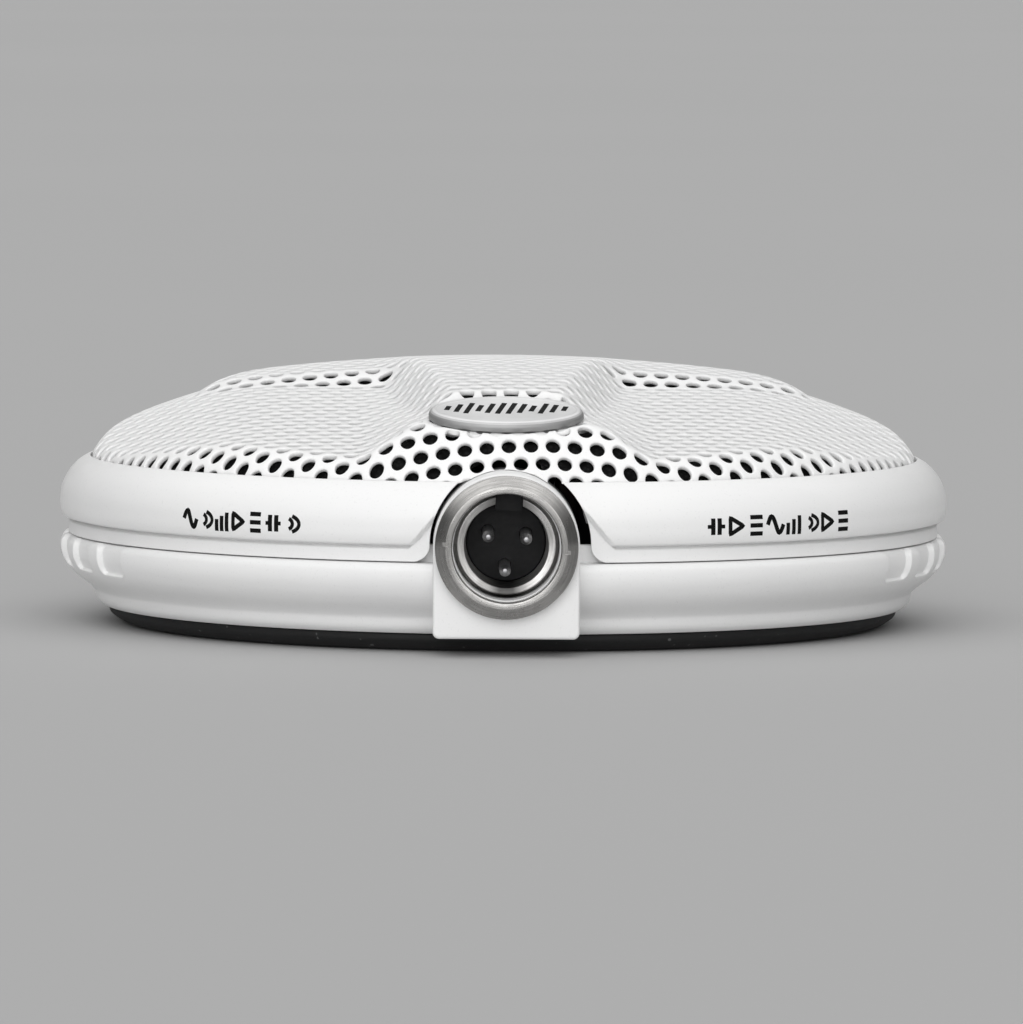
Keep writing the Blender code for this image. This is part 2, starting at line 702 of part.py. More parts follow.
# (name, look, (x, y), half length in X, half width in Y, height)
BOX_COMPONENTS = (
    ("film_capacitor", "film_box", (8.5, -10.5), 3.6, 1.3, 6.2),
    ("resistor_network", "black_plastic", (0.0, -19.2), 5.0, 1.0, 3.2),
    ("capsule_header", "black_plastic", CAPSULE_HEADER, 2.6, 1.4, 3.4),
    ("output_header", "black_plastic", OUTPUT_HEADER, 4.0, 1.4, 3.4),
)


def build_board():
    board = place("circuit_board", prism(BOARD_OUTLINE, BOARD_BOTTOM, BOARD_TOP), "laminate")
    boolean(board, joined([moved(rod(1.15, 6.5, 9), *site) for site in BOARD_SCREWS]))


def build_components():
    for number, (x, y, radius, height) in enumerate(CAPACITORS, 1):
        # Can with a groove near its foot and a bevelled top.
        place(f"electrolytic_capacitor_{number}", turned([
            (0, 0), (radius, 0), (radius, 0.9), (radius - 0.35, 1.25), (radius, 1.6),
            (radius, height - 0.3), (radius - 0.3, height), (0, height),
        ], 16), "aluminium", (x, y, COMPONENT_Z))
    for name, look, site, half_x, half_y, height in BOX_COMPONENTS:
        box = block((-half_x, half_x), (-half_y, half_y), (0, height))
        place(name, box, look, (*site, COMPONENT_Z))
    flat_sided = arc(2.3, math.radians(-35), math.radians(250), 12)
    place("transistor", prism(flat_sided, 0, 4.4), "black_plastic", (8.5, -17.0, COMPONENT_Z))


# ---- capsule -------------------------------------------------------------
CAPSULE_TURN = (-math.pi / 2, 0, 0)  # local +Z to world +Y
# (name, look, outline of (radius, local height))
CAPSULE_PARTS = (
    ("capsule_can", "aluminium", [
        (3.9, -3.4), (4.85, -3.4), (4.85, 3.5), (1.4, 3.5),
        (1.4, 3.05), (4.4, 3.05), (4.4, -3.0), (3.9, -3.0)]),
    ("capsule_felt", "foam", [(0, 3.65), (4.5, 3.65), (4.5, 4.15), (0, 4.15)]),
    ("diaphragm_ring", "gold", [
        (0, 2.55), (3.4, 2.55), (3.4, 2.3), (4.25, 2.3), (4.25, 2.9), (3.4, 2.9), (0, 2.65)]),
    ("capsule_backplate", "gold", [(0, 1.0), (3.4, 1.0), (3.4, 2.1), (0, 2.1)]),
    ("capsule_insulator", "black_plastic", [(3.6, -1.6), (4.25, -1.6), (4.25, 2.1), (3.6, 2.1)]),
    ("capsule_board", "laminate", [(0, -2.8), (4.2, -2.8), (4.2, -1.9), (0, -1.9)]),
    ("capsule_shock_mount", "rubber", [
        (5.0, -2.6), (6.2, -2.6), (6.2, -1.6), (5.7, -1.3),
        (5.7, 1.3), (6.2, 1.6), (6.2, 2.6), (5.0, 2.6)]),
)
HOOP_INNER = 6.4
HOOP_OUTER = HOOP_INNER + BRACKET_THICK
BRACKET_FOOT_X = 13.6     # outer end of each foot
BRACKET_HALF_WIDTH = 2.0


def build_capsule():
    for name, look, outline in CAPSULE_PARTS:
        place(name, turned(outline, 24), look, (0, CAPSULE_Y, CAPSULE_Z), CAPSULE_TURN)


def hoop_arc(radius, end_z):
    """Arc over the capsule axis, from end_z on the +X side to end_z on the -X side."""
    start = math.asin(end_z / radius)
    return arc(radius, start, math.pi - 2 * start, 20)


def build_bracket():
    """Strap bracket: a hoop round the rubber mount with two feet, and its screws."""
    low = BRACKET_FOOT_Z - CAPSULE_Z
    high = low + BRACKET_THICK
    outline = [(BRACKET_FOOT_X, low), (BRACKET_FOOT_X, high)]
    outline += hoop_arc(HOOP_OUTER, high)
    outline += [(-BRACKET_FOOT_X, high), (-BRACKET_FOOT_X, low)]
    outline += hoop_arc(HOOP_INNER, low)[::-1]
    strap = prism_along_y(outline, -BRACKET_HALF_WIDTH, BRACKET_HALF_WIDTH)
    bracket = place("capsule_bracket", strap, "steel", (0, CAPSULE_Y, CAPSULE_Z))
    boolean(bracket, joined([moved(rod(1.1, 5.0, 7.5), *site) for site in BRACKET_SCREWS]))
    head_z = BRACKET_FOOT_Z + BRACKET_THICK + GAP
    for number, (x, y) in enumerate(BRACKET_SCREWS, 1):
        screw(f"bracket_screw_{number}", (x, y, head_z), head_radius=1.7, head_height=1.1,
              shank_radius=0.85, length=3.1)


# ---- leads ---------------------------------------------------------------
LEAD_RADIUS = 0.4
LEAD_STEPS = 4            # path points per span
OUTPUT_LEAD_X = (-2.6, 2.6, 0.0)  # where each pin's lead meets the output header


def smooth_path(points):
    """Catmull-Rom path through the given points."""
    knots = [np.array(point, float) for point in points]
    knots = [2 * knots[0] - knots[1]] + knots + [2 * knots[-1] - knots[-2]]
    path = []
    for before, start, end, after in zip(knots, knots[1:], knots[2:], knots[3:]):
        for k in range(LEAD_STEPS):
            t = k / LEAD_STEPS
            path.append(0.5 * (
                2 * start + (end - before) * t
                + (2 * before - 5 * start + 4 * end - after) * t * t
                + (3 * start - before - 3 * end + after) * t ** 3))
    path.append(knots[-2])
    return path


def lead(name, points):
    """Round insulated lead along a smooth path."""
    curve = bpy.data.curves.new(name, "CURVE")
    curve.dimensions = "3D"
    spline = curve.splines.new("POLY")
    path = smooth_path(points)
    spline.points.add(len(path) - 1)
    for point, position in zip(spline.points, path):
        point.co = (*[c * MM for c in position], 1.0)
    curve.bevel_depth = LEAD_RADIUS * MM
    curve.bevel_resolution = 0
    curve.use_fill_caps = True
    give_material(link(name, curve), "insulation")


def build_capsule_leads():
    header_x, header_y = CAPSULE_HEADER
    for number, side in enumerate((-1, 1), 1):
        start_x = 1.5 * side
        end_x = header_x + side
        lead(f"capsule_lead_{number}", [
            (start_x, CAPSULE_Y - 3.15, CAPSULE_Z - 0.5),
            (start_x, CAPSULE_Y - 5.5, CAPSULE_Z - 0.4),
            (start_x - 1.4, 6.0, 11.8 + 0.3 * side),
            (end_x, 0.5, 13.0), (end_x, header_y + 0.8, 13.4), (end_x, header_y, 12.0)])


def build_output_leads():
    header_y = OUTPUT_HEADER[1]
    for number, ((pin_x, pin_y), end_x) in enumerate(zip(PIN_SITES, OUTPUT_LEAD_X), 1):
        # The pin's place in the world, after the connector's roll.
        x = pin_x * math.cos(ROLL) + pin_y * math.sin(ROLL)
        z = AXIS_Z - pin_x * math.sin(ROLL) + pin_y * math.cos(ROLL)
        lead(f"output_lead_{number}", [
            (x, -PIN_REAR + 0.3, z), (x, -25.5, z + 0.5), (end_x * 0.9, -25.3, 13.2),
            (end_x, -24.0, 14.6), (end_x, header_y, 13.8), (end_x, header_y, 12.0)])


# ---- assembly ------------------------------------------------------------
for old_object in list(bpy.data.objects):
    bpy.data.objects.remove(old_object, do_unlink=True)

root = bpy.data.objects.new("microphone_origin", None)
bpy.context.scene.collection.objects.link(root)

build_foot_pad()
build_base()
build_upper_shell()
build_grille()
build_liner()
build_retaining_ring()
build_badge()
build_nut()
build_barrel()
build_contacts()
build_screws()
build_board()
build_components()
build_capsule()
build_bracket()
build_capsule_leads()
build_output_leads()
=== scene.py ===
"""Looks of a round desktop boundary microphone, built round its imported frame.

A domed perforated grille sits in a two-part housing on a rubber foot, with a three-pin connector
at the front and an oval badge above it.
Lengths are in millimetres inside the helpers and are scaled by MM where they meet Blender.
-Y is the connector side (front), +Z is up, the origin is under the middle of the foot.
"""
import json
import math

import bmesh
import bpy
import numpy as np
from mathutils import Matrix, Vector
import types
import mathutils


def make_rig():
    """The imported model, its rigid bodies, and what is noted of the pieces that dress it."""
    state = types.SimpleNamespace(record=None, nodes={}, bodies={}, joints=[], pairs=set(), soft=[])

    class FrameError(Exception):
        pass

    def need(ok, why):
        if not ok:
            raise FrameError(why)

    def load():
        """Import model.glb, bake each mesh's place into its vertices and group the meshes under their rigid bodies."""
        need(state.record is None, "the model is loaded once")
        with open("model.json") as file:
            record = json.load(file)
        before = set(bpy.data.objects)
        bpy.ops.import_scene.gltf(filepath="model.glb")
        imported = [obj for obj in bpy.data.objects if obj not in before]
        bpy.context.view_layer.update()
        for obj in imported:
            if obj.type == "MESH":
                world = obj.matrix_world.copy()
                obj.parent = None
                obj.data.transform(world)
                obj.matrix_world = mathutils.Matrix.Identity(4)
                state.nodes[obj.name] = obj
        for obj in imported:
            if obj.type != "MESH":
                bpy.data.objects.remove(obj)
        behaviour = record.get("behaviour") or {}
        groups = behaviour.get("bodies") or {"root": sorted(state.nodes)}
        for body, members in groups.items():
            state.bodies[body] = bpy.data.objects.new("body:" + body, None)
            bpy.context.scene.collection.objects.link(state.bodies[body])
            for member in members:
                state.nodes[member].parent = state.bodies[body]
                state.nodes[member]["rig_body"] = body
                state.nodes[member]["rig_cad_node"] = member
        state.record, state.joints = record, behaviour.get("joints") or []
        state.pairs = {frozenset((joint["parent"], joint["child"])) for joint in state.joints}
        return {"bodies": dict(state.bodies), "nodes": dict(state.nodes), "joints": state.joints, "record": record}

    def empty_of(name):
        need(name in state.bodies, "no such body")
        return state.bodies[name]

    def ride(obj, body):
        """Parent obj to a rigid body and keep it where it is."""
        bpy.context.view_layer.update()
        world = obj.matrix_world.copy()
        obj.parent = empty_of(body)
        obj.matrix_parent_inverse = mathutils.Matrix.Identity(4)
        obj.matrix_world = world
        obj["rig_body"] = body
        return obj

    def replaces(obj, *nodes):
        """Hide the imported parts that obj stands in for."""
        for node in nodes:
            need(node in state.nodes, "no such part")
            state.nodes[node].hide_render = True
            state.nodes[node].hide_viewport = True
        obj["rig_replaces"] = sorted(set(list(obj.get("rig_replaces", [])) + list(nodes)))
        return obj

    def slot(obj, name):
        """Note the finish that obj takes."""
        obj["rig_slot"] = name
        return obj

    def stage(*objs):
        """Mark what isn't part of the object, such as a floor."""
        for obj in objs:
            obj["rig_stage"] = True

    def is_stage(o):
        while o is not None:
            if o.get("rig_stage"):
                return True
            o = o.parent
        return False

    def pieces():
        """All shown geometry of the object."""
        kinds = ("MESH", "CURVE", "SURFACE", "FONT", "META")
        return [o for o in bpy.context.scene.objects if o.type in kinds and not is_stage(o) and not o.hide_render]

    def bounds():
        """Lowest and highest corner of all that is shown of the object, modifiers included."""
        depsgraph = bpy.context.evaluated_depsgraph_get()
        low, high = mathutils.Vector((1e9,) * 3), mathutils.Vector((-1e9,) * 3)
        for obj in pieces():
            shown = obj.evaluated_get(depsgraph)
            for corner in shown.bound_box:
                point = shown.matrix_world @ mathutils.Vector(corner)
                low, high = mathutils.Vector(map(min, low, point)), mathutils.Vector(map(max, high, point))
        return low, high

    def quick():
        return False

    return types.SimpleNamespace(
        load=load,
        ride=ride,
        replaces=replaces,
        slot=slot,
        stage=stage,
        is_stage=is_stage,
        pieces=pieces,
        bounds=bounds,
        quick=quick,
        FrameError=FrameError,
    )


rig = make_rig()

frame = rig.load()
cad_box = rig.bounds()
MM = 0.001
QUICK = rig.quick()

# ---------------------------------------------------------------- driving dimensions
AXIS_Z = 9.6            # height of the connector axis
SHELL_R = 40.0          # largest radius of the housing
BASE_UNDER = 1.62       # underside of the base housing
BASE_FLOOR_TOP = 4.1
RIM_R, RIM_Z = 37.2, 15.0   # where the grille meets the shell
BOSS_HALF = 6.35        # half width of the boss round the connector
BOSS_FRONT = -41.0
ARCH_R, ARCH_X = 7.0, 0.35  # arched opening in the upper shell: radius and sideways offset
CUT_FRONT = -46.0       # front end of every cutter that runs along Y


# ---------------------------------------------------------------- mesh helpers
def shade(mesh, smooth):
    """Smooth shading but for edges sharper than the angle in degrees."""
    mesh.shade_smooth()
    mesh.set_sharp_from_angle(angle=math.radians(smooth))


def outward(mesh):
    bm = bmesh.new()
    bm.from_mesh(mesh)
    bmesh.ops.recalc_face_normals(bm, faces=bm.faces)
    bm.to_mesh(mesh)
    bm.free()


def mesh_from(name, verts, faces, smooth=35.0):
    """Mesh from millimetre points."""
    mesh = bpy.data.meshes.new(name)
    mesh.from_pydata([tuple(float(c) * MM for c in v) for v in verts], [], faces)
    mesh.validate()
    shade(mesh, smooth)
    return mesh


def solid(name, verts, faces, smooth=35.0):
    """Closed mesh with its faces turned outward."""
    mesh = mesh_from(name, verts, faces, smooth)
    outward(mesh)
    return mesh


def ring_quads(rings, count, first=0, wrap=False):
    """Quads between successive closed rings of count points; wrap joins the last to the first."""
    faces = []
    for ring in range(rings if wrap else rings - 1):
        here = first + ring * count
        there = first + (ring + 1) % rings * count
        for k in range(count):
            after = (k + 1) % count
            faces.append((here + k, here + after, there + after, there + k))
    return faces


def capped_stack(name, rings, smooth):
    """Solid through a list of rings of points, closed at both ends."""
    count = len(rings[0])
    last = (len(rings) - 1) * count
    faces = ring_quads(len(rings), count)
    faces += [tuple(range(count)), tuple(range(last, last + count))]
    return solid(name, [point for ring in rings for point in ring], faces, smooth)


def rounded(profile, steps):
    """Closed (r, z) outline with rounded corners, from (r, z, corner radius) points."""
    points = [np.array(p[:2], float) for p in profile]
    out = []
    for i, point in enumerate(points):
        corner = profile[i][2]
        back = points[i - 1] - point
        ahead = points[(i + 1) % len(points)] - point
        back_len, ahead_len = np.linalg.norm(back), np.linalg.norm(ahead)
        cosine = float(np.clip(np.dot(back, ahead) / (back_len * ahead_len), -1, 1))
        half = math.acos(cosine) / 2
        if corner <= 0 or half > math.radians(88):
            out.append(tuple(point))
            continue
        trim = min(corner / math.tan(half), back_len * 0.45, ahead_len * 0.45)
        radius = trim * math.tan(half)
        start = point + back / back_len * trim
        end = point + ahead / ahead_len * trim
        bisector = back / back_len + ahead / ahead_len
        centre = point + bisector / np.linalg.norm(bisector) * (radius / math.sin(half))
        from_angle = math.atan2(*(start - centre)[::-1])
        to_angle = math.atan2(*(end - centre)[::-1])
        sweep = (to_angle - from_angle + math.pi) % (2 * math.pi) - math.pi
        for k in range(steps + 1):
            angle = from_angle + sweep * k / steps
            out.append((centre[0] + radius * math.cos(angle),
                        centre[1] + radius * math.sin(angle)))
    return out


def lathe(name, profile, segments, smooth=35.0):
    """Solid of revolution about +Z from a closed (r, z) outline."""
    verts, rings, faces = [], [], []
    for r, z in profile:
        if r < 1e-6:
            rings.append([len(verts)])
            verts.append((0, 0, z))
            continue
        rings.append(list(range(len(verts), len(verts) + segments)))
        for k in range(segments):
            angle = 2 * math.pi * k / segments
            verts.append((r * math.cos(angle), r * math.sin(angle), z))
    for low, high in zip(rings, rings[1:] + rings[:1]):
        if len(low) == 1 and len(high) == 1:
            continue
        for k in range(segments):
            after = (k + 1) % segments
            if len(low) == 1:
                faces.append((low[0], high[k], high[after]))
            elif len(high) == 1:
                faces.append((low[k], high[0], low[after]))
            else:
                faces.append((low[k], high[k], high[after], low[after]))
    return solid(name, verts, faces, smooth)


def grid_ring(name, angles, rows, smooth):
    """Closed ring-shaped solid: each row is (r, z), as numbers or arrays over the angles."""
    cosine, sine = np.cos(angles), np.sin(angles)
    verts = np.concatenate([np.stack([r * cosine, r * sine, z + 0 * cosine], 1) for r, z in rows])
    return solid(name, verts, ring_quads(len(rows), len(angles), wrap=True), smooth)


def prism_y(name, outline, rear=-28.0):
    """Cutter on an (x, z) outline, from CUT_FRONT back to the rear station."""
    n = len(outline)
    verts = [(x, CUT_FRONT, z) for x, z in outline] + [(x, rear, z) for x, z in outline]
    faces = [tuple(range(n)), tuple(range(2 * n - 1, n - 1, -1))] + ring_quads(2, n)
    return solid(name, verts, faces)


def block(x, y, z):
    """Box between the (low, high) limits on each axis."""
    verts = [(a, b, c) for a in x for b in y for c in z]
    faces = [(0, 1, 3, 2), (4, 6, 7, 5), (0, 4, 5, 1), (2, 3, 7, 6), (0, 2, 6, 4), (1, 5, 7, 3)]
    return solid("block", verts, faces)


def cut(mesh, cutter, operation="DIFFERENCE", smooth=35.0, solver="EXACT"):
    """Applies a Boolean between two meshes, uses both up and returns the new mesh."""
    body = bpy.data.objects.new("work_a", mesh)
    tool = bpy.data.objects.new("work_b", cutter)
    for obj in (body, tool):
        bpy.context.scene.collection.objects.link(obj)
    boolean = body.modifiers.new("b", "BOOLEAN")
    boolean.operation = operation
    boolean.solver = solver
    boolean.object = tool
    bpy.context.view_layer.update()
    depsgraph = bpy.context.evaluated_depsgraph_get()
    made = bpy.data.meshes.new_from_object(body.evaluated_get(depsgraph))
    name = mesh.name
    for obj in (body, tool):
        bpy.data.objects.remove(obj, do_unlink=True)
    for used in (mesh, cutter):
        bpy.data.meshes.remove(used)
    made.name = name
    made.materials.clear()
    shade(made, smooth)
    return made


def transformed(mesh, matrix):
    mesh.transform(matrix)
    return mesh


def shift(x, y, z):
    return Matrix.Translation(Vector((x, y, z)) * MM)


# ---------------------------------------------------------------- node helpers
class Nodes:
    """Short calls for one node tree; most return the socket that the next call takes."""

    def __init__(self, owner):
        owner.use_nodes = True
        self.owner = owner
        self.tree = owner.node_tree

    def add(self, kind, **settings):
        node = self.tree.nodes.new(kind)
        for key, value in settings.items():
            setattr(node, key, value)
        return node

    def feed(self, socket, value):
        """Links a socket, or sets a plain value."""
        if isinstance(value, bpy.types.NodeSocket):
            self.tree.links.new(value, socket)
        else:
            socket.default_value = value

    def coords(self, scale=(1, 1, 1)):
        mapping = self.add("ShaderNodeMapping")
        self.feed(mapping.inputs["Scale"], scale)
        source = self.add("ShaderNodeTexCoord")
        self.feed(mapping.inputs["Vector"], source.outputs["Object"])
        return mapping.outputs["Vector"]

    def noise(self, vector, scale, detail=2.0, rough=0.5):
        node = self.add("ShaderNodeTexNoise")
        self.feed(node.inputs["Scale"], scale)
        self.feed(node.inputs["Detail"], detail)
        self.feed(node.inputs["Roughness"], rough)
        self.feed(node.inputs["Vector"], vector)
        return node.outputs["Fac"]

    def ramp(self, fac, span, colors):
        """Blend of two colours, placed at the two positions of span."""
        node = self.add("ShaderNodeValToRGB")
        for element, position, color in zip(node.color_ramp.elements, span, colors):
            element.position = position
            element.color = (*color, 1.0)
        self.feed(node.inputs["Fac"], fac)
        return node.outputs["Color"]

    def map_range(self, value, span, to, curve="LINEAR"):
        node = self.add("ShaderNodeMapRange", interpolation_type=curve)
        for key, number in zip(("From Min", "From Max", "To Min", "To Max"), (*span, *to)):
            self.feed(node.inputs[key], number)
        self.feed(node.inputs["Value"], value)
        return node.outputs["Result"]

    def math(self, operation, *values):
        node = self.add("ShaderNodeMath", operation=operation)
        for i, value in enumerate(values):
            self.feed(node.inputs[i], value)
        return node.outputs["Value"]

    def mix(self, a, b, factor, blend="MIX"):
        node = self.add("ShaderNodeMix", data_type="RGBA", blend_type=blend)
        self.feed(node.inputs["Factor"], factor)
        self.feed(node.inputs["A"], a)
        self.feed(node.inputs["B"], b)
        return node.outputs["Result"]

    def xyz(self, vector):
        node = self.add("ShaderNodeSeparateXYZ")
        self.feed(node.inputs["Vector"], vector)
        return node.outputs

    def bump(self, height, strength, distance, normal=None):
        """Distance is in metres."""
        node = self.add("ShaderNodeBump")
        self.feed(node.inputs["Strength"], strength)
        self.feed(node.inputs["Distance"], distance)
        self.feed(node.inputs["Height"], height)
        if normal is not None:
            self.feed(node.inputs["Normal"], normal)
        return node.outputs["Normal"]

    def bevel(self, radius):
        node = self.add("ShaderNodeBevel", samples=4)
        self.feed(node.inputs["Radius"], radius * MM)
        return node.outputs["Normal"]

    def principled(self, **values):
        """Feeds the surface shader's inputs, named with _ for spaces, and returns the shader."""
        shader = self.tree.nodes["Principled BSDF"]
        for key, value in values.items():
            self.feed(shader.inputs[key.replace("_", " ")], value)
        return shader


def surface(name):
    return Nodes(bpy.data.materials.new(name))


def scaled(color, factor):
    return tuple(c * factor for c in color)


# ---------------------------------------------------------------- materials
def powder_coat(name, tone, rough, grain, edge=0.0):
    """White powder coat: fine orange peel and a little speckle; edge is a shaded bevel in mm."""
    n = surface(name)
    place_ = n.coords()
    broad = n.noise(place_, scale=60.0, detail=3.0)
    fine = n.noise(place_, scale=2600.0, rough=0.6)
    peel = n.noise(place_, scale=900.0)
    color = n.ramp(broad, span=(0.30, 0.70),
                   colors=((tone * 0.975,) * 3, (tone, tone, tone * 0.995)))
    speck = n.map_range(n.noise(place_, scale=5200.0, detail=1.0),
                        span=(0.28, 0.34), to=(0.90, 1.0))
    fine_share = 0.45
    height = n.math("ADD", n.math("MULTIPLY", fine, fine_share), peel)
    n.principled(
        Base_Color=n.mix(color, speck, factor=0.6, blend="MULTIPLY"),
        Metallic=0.0,
        Roughness=n.map_range(peel, span=(0.3, 0.7), to=(rough - 0.05, rough + 0.08)),
        Normal=n.bump(height, strength=0.22 * grain, distance=0.00006,
                      normal=n.bevel(edge) if edge else None),
        IOR=1.5)
    return n.owner


def rubber(name, tone):
    """Dark rubber with sparse pale dust."""
    n = surface(name)
    place_ = n.coords()
    broad = n.noise(place_, scale=120.0, detail=4.0)
    fine = n.noise(place_, scale=3500.0, detail=3.0, rough=0.7)
    color = n.ramp(broad, span=(0.25, 0.75),
                   colors=((tone * 0.8,) * 3, (tone * 1.25, tone * 1.25, tone * 1.3)))
    dust = n.map_range(n.noise(place_, scale=1500.0, detail=1.0), span=(0.73, 0.76), to=(0.0, 1.0))
    dust_color, dust_share = (0.35, 0.35, 0.35, 1), 0.25
    n.principled(
        Base_Color=n.mix(color, dust_color, factor=n.math("MULTIPLY", dust, dust_share)),
        Roughness=n.map_range(broad, span=(0.3, 0.7), to=(0.55, 0.75)),
        Normal=n.bump(fine, strength=0.35, distance=0.00005),
        Specular_IOR_Level=0.30)
    return n.owner


def turned_metal(name, color, rough, painted_reflection_span, painted_reflection_to, metal=1.0):
    """Lathe-turned plating: tool lines about the connector axis and light tarnish, with a painted reflection:
    a fan of light and dark by angle round the axis, multiplied into the colour (span: sideways shares, to: colour
    factor at each)."""
    n = surface(name)
    from_axis = n.add("ShaderNodeVectorMath", operation="SUBTRACT")
    n.feed(from_axis.inputs[0], n.add("ShaderNodeTexCoord").outputs["Object"])
    n.feed(from_axis.inputs[1], (0, 0, AXIS_Z * MM))
    x, y, z = n.xyz(from_axis.outputs["Vector"])
    radius = n.math("SQRT", n.math("ADD", n.math("MULTIPLY", x, x), n.math("MULTIPLY", z, z)))
    angle = n.math("ARCTAN2", z, x)
    # how fast the tool lines vary outward, along the axis and round it
    line_scale = {"X": (radius, 9000.0), "Y": (y, 6000.0), "Z": (angle, 2.2)}
    combined = n.add("ShaderNodeCombineXYZ")
    for axis, (distance, scale) in line_scale.items():
        n.feed(combined.inputs[axis], n.math("MULTIPLY", distance, scale))
    rings = n.noise(combined.outputs["Vector"], scale=1.0, detail=3.0, rough=0.65)
    stain = n.noise(n.coords(), scale=420.0, detail=4.0, rough=0.6)
    tint = n.ramp(stain, span=(0.25, 0.62), colors=(scaled(color, 0.75), color))
    dark = n.map_range(rings, span=(0.30, 0.62), to=(0.72, 1.04))
    # painted reflection: the colour is lightened or darkened by the angle round the connector axis
    sideways = n.math("ABSOLUTE", n.math("DIVIDE", x, radius))
    painted_reflection = n.map_range(sideways, span=painted_reflection_span, to=painted_reflection_to)
    n.principled(
        # colour: tarnish, tool lines and the painted reflection multiplied together
        Base_Color=n.mix(tint, n.math("MULTIPLY", dark, painted_reflection), factor=1.0, blend="MULTIPLY"),
        Metallic=metal,
        Roughness=n.map_range(stain, span=(0.3, 0.7), to=(rough + 0.10, rough - 0.04)),
        Anisotropic=0.45,
        Normal=n.bump(rings, strength=0.35, distance=0.00003))
    return n.owner


def plain_metal(name, color, rough, brushed=(1, 1, 1), strength=0.2, metal=1.0, side_painted_shade=1.0):
    """Stained metal with fine grain; a side factor below 1 paints shade on faces that don't look up."""
    n = surface(name)
    grain = n.noise(n.coords(scale=brushed), scale=1800.0, detail=3.0, rough=0.6)
    stain = n.noise(n.coords(), scale=200.0, detail=3.0)
    tint = n.ramp(stain, span=(0.3, 0.7), colors=(scaled(color, 0.82), color))
    # painted shade: faces that turn away from up are darkened in the colour
    if side_painted_shade < 1.0:
        facing = n.xyz(n.add("ShaderNodeNewGeometry").outputs["True Normal"])
        shade_factor = n.map_range(facing["Z"], span=(0.35, 0.85), to=(side_painted_shade, 1.0))
        tint = n.mix(tint, shade_factor, factor=1.0, blend="MULTIPLY")
    n.principled(
        Base_Color=tint,
        Metallic=metal,
        Roughness=n.map_range(grain, span=(0.3, 0.7), to=(rough - 0.06, rough + 0.08)),
        Normal=n.bump(grain, strength=strength, distance=0.00003))
    return n.owner


def moulded_plastic(name, color, rough, grain=0.25, shine=0.5):
    n = surface(name)
    place_ = n.coords()
    fine = n.noise(place_, scale=2500.0, rough=0.6)
    broad = n.noise(place_, scale=150.0, detail=3.0)
    n.principled(
        Base_Color=n.ramp(broad, span=(0.3, 0.7), colors=(scaled(color, 0.85), color)),
        Roughness=n.map_range(fine, span=(0.3, 0.7), to=(rough - 0.06, rough + 0.08)),
        Normal=n.bump(fine, strength=grain, distance=0.00004),
        Specular_IOR_Level=shine)
    return n.owner


def foam(name, tone):
    n = surface(name)
    cells = n.add("ShaderNodeTexVoronoi")
    n.feed(cells.inputs["Scale"], 2400.0)
    n.feed(cells.inputs["Vector"], n.coords())
    depth = cells.outputs["Distance"]
    n.principled(
        Base_Color=n.ramp(depth, span=(0.05, 0.6), colors=((tone * 1.6,) * 3, (tone * 0.5,) * 3)),
        Roughness=0.97,
        Normal=n.bump(depth, strength=0.6, distance=0.0002),
        Specular_IOR_Level=0.1)
    return n.owner


def laminate(name):
    """Green board with a faint weave."""
    n = surface(name)
    place_ = n.coords()
    weave = n.add("ShaderNodeTexBrick")
    n.feed(weave.inputs["Scale"], 900.0)
    n.feed(weave.inputs["Vector"], place_)
    broad = n.noise(place_, scale=140.0, detail=3.0)
    n.principled(
        Base_Color=n.ramp(broad, span=(0.35, 0.65),
                          colors=((0.012, 0.085, 0.035), (0.02, 0.13, 0.055))),
        Roughness=0.32,
        Normal=n.bump(weave.outputs["Fac"], strength=0.08, distance=0.00002))
    return n.owner


MATS = {
    "housing": powder_coat("white_powder_coat_housing", tone=0.80, rough=0.44, grain=1.0,
                           edge=0.12),
    "grille": powder_coat("white_powder_coat_grille", tone=0.82, rough=0.45, grain=0.5),
    "rubber": rubber("black_rubber", tone=0.012),
    # nut and connector shell carry painted reflection streaks: the nut darker at its sides, the shell darker at top
    # and bottom
    "nickel": turned_metal("turned_nickel", color=(0.57, 0.56, 0.545), rough=0.24,
                           painted_reflection_span=(0.72, 1.0), painted_reflection_to=(1.0, 0.62)),
    # brighter copy of the nickel for the connector shell: painted reflection
    "nickel_inner_painted_bright": turned_metal("turned_nickel_inner", color=(0.68, 0.67, 0.655), rough=0.30,
                                 painted_reflection_span=(0.15, 0.70), painted_reflection_to=(0.12, 1.0), metal=0.75),
    "black_plastic": moulded_plastic("black_moulding", color=(0.008, 0.008, 0.009), rough=0.50,
                                     shine=0.25),
    # the badge's rim and sides are darkened by painted shade (side factor 0.42)
    "badge": plain_metal("badge_satin", color=(0.84, 0.84, 0.84), rough=0.46,
                         brushed=(0.05, 1, 1), strength=0.12, metal=0.60, side_painted_shade=0.42),
    "steel": plain_metal("zinc_plate", color=(0.46, 0.46, 0.47), rough=0.34),
    "gold": plain_metal("gold_flash", color=(0.80, 0.60, 0.28), rough=0.22),
    "foam": foam("black_foam", tone=0.012),
    "laminate": laminate("green_laminate"),
    "aluminium": plain_metal("drawn_aluminium", color=(0.72, 0.72, 0.73), rough=0.30,
                             brushed=(1, 1, 0.05)),
    "film_box": moulded_plastic("red_film_box", color=(0.10, 0.022, 0.014), rough=0.40),
    "insulation": moulded_plastic("wire_insulation", color=(0.020, 0.020, 0.022), rough=0.45),
    "ink": moulded_plastic("black_ink", color=(0.003, 0.003, 0.003), rough=0.6, grain=0.1,
                           shine=0.12),
}
for entry in frame["record"]["subparts"]:
    node = frame["nodes"][entry["node"]]
    node.data.materials.clear()
    node.data.materials.append(MATS[entry["material_slot"]])


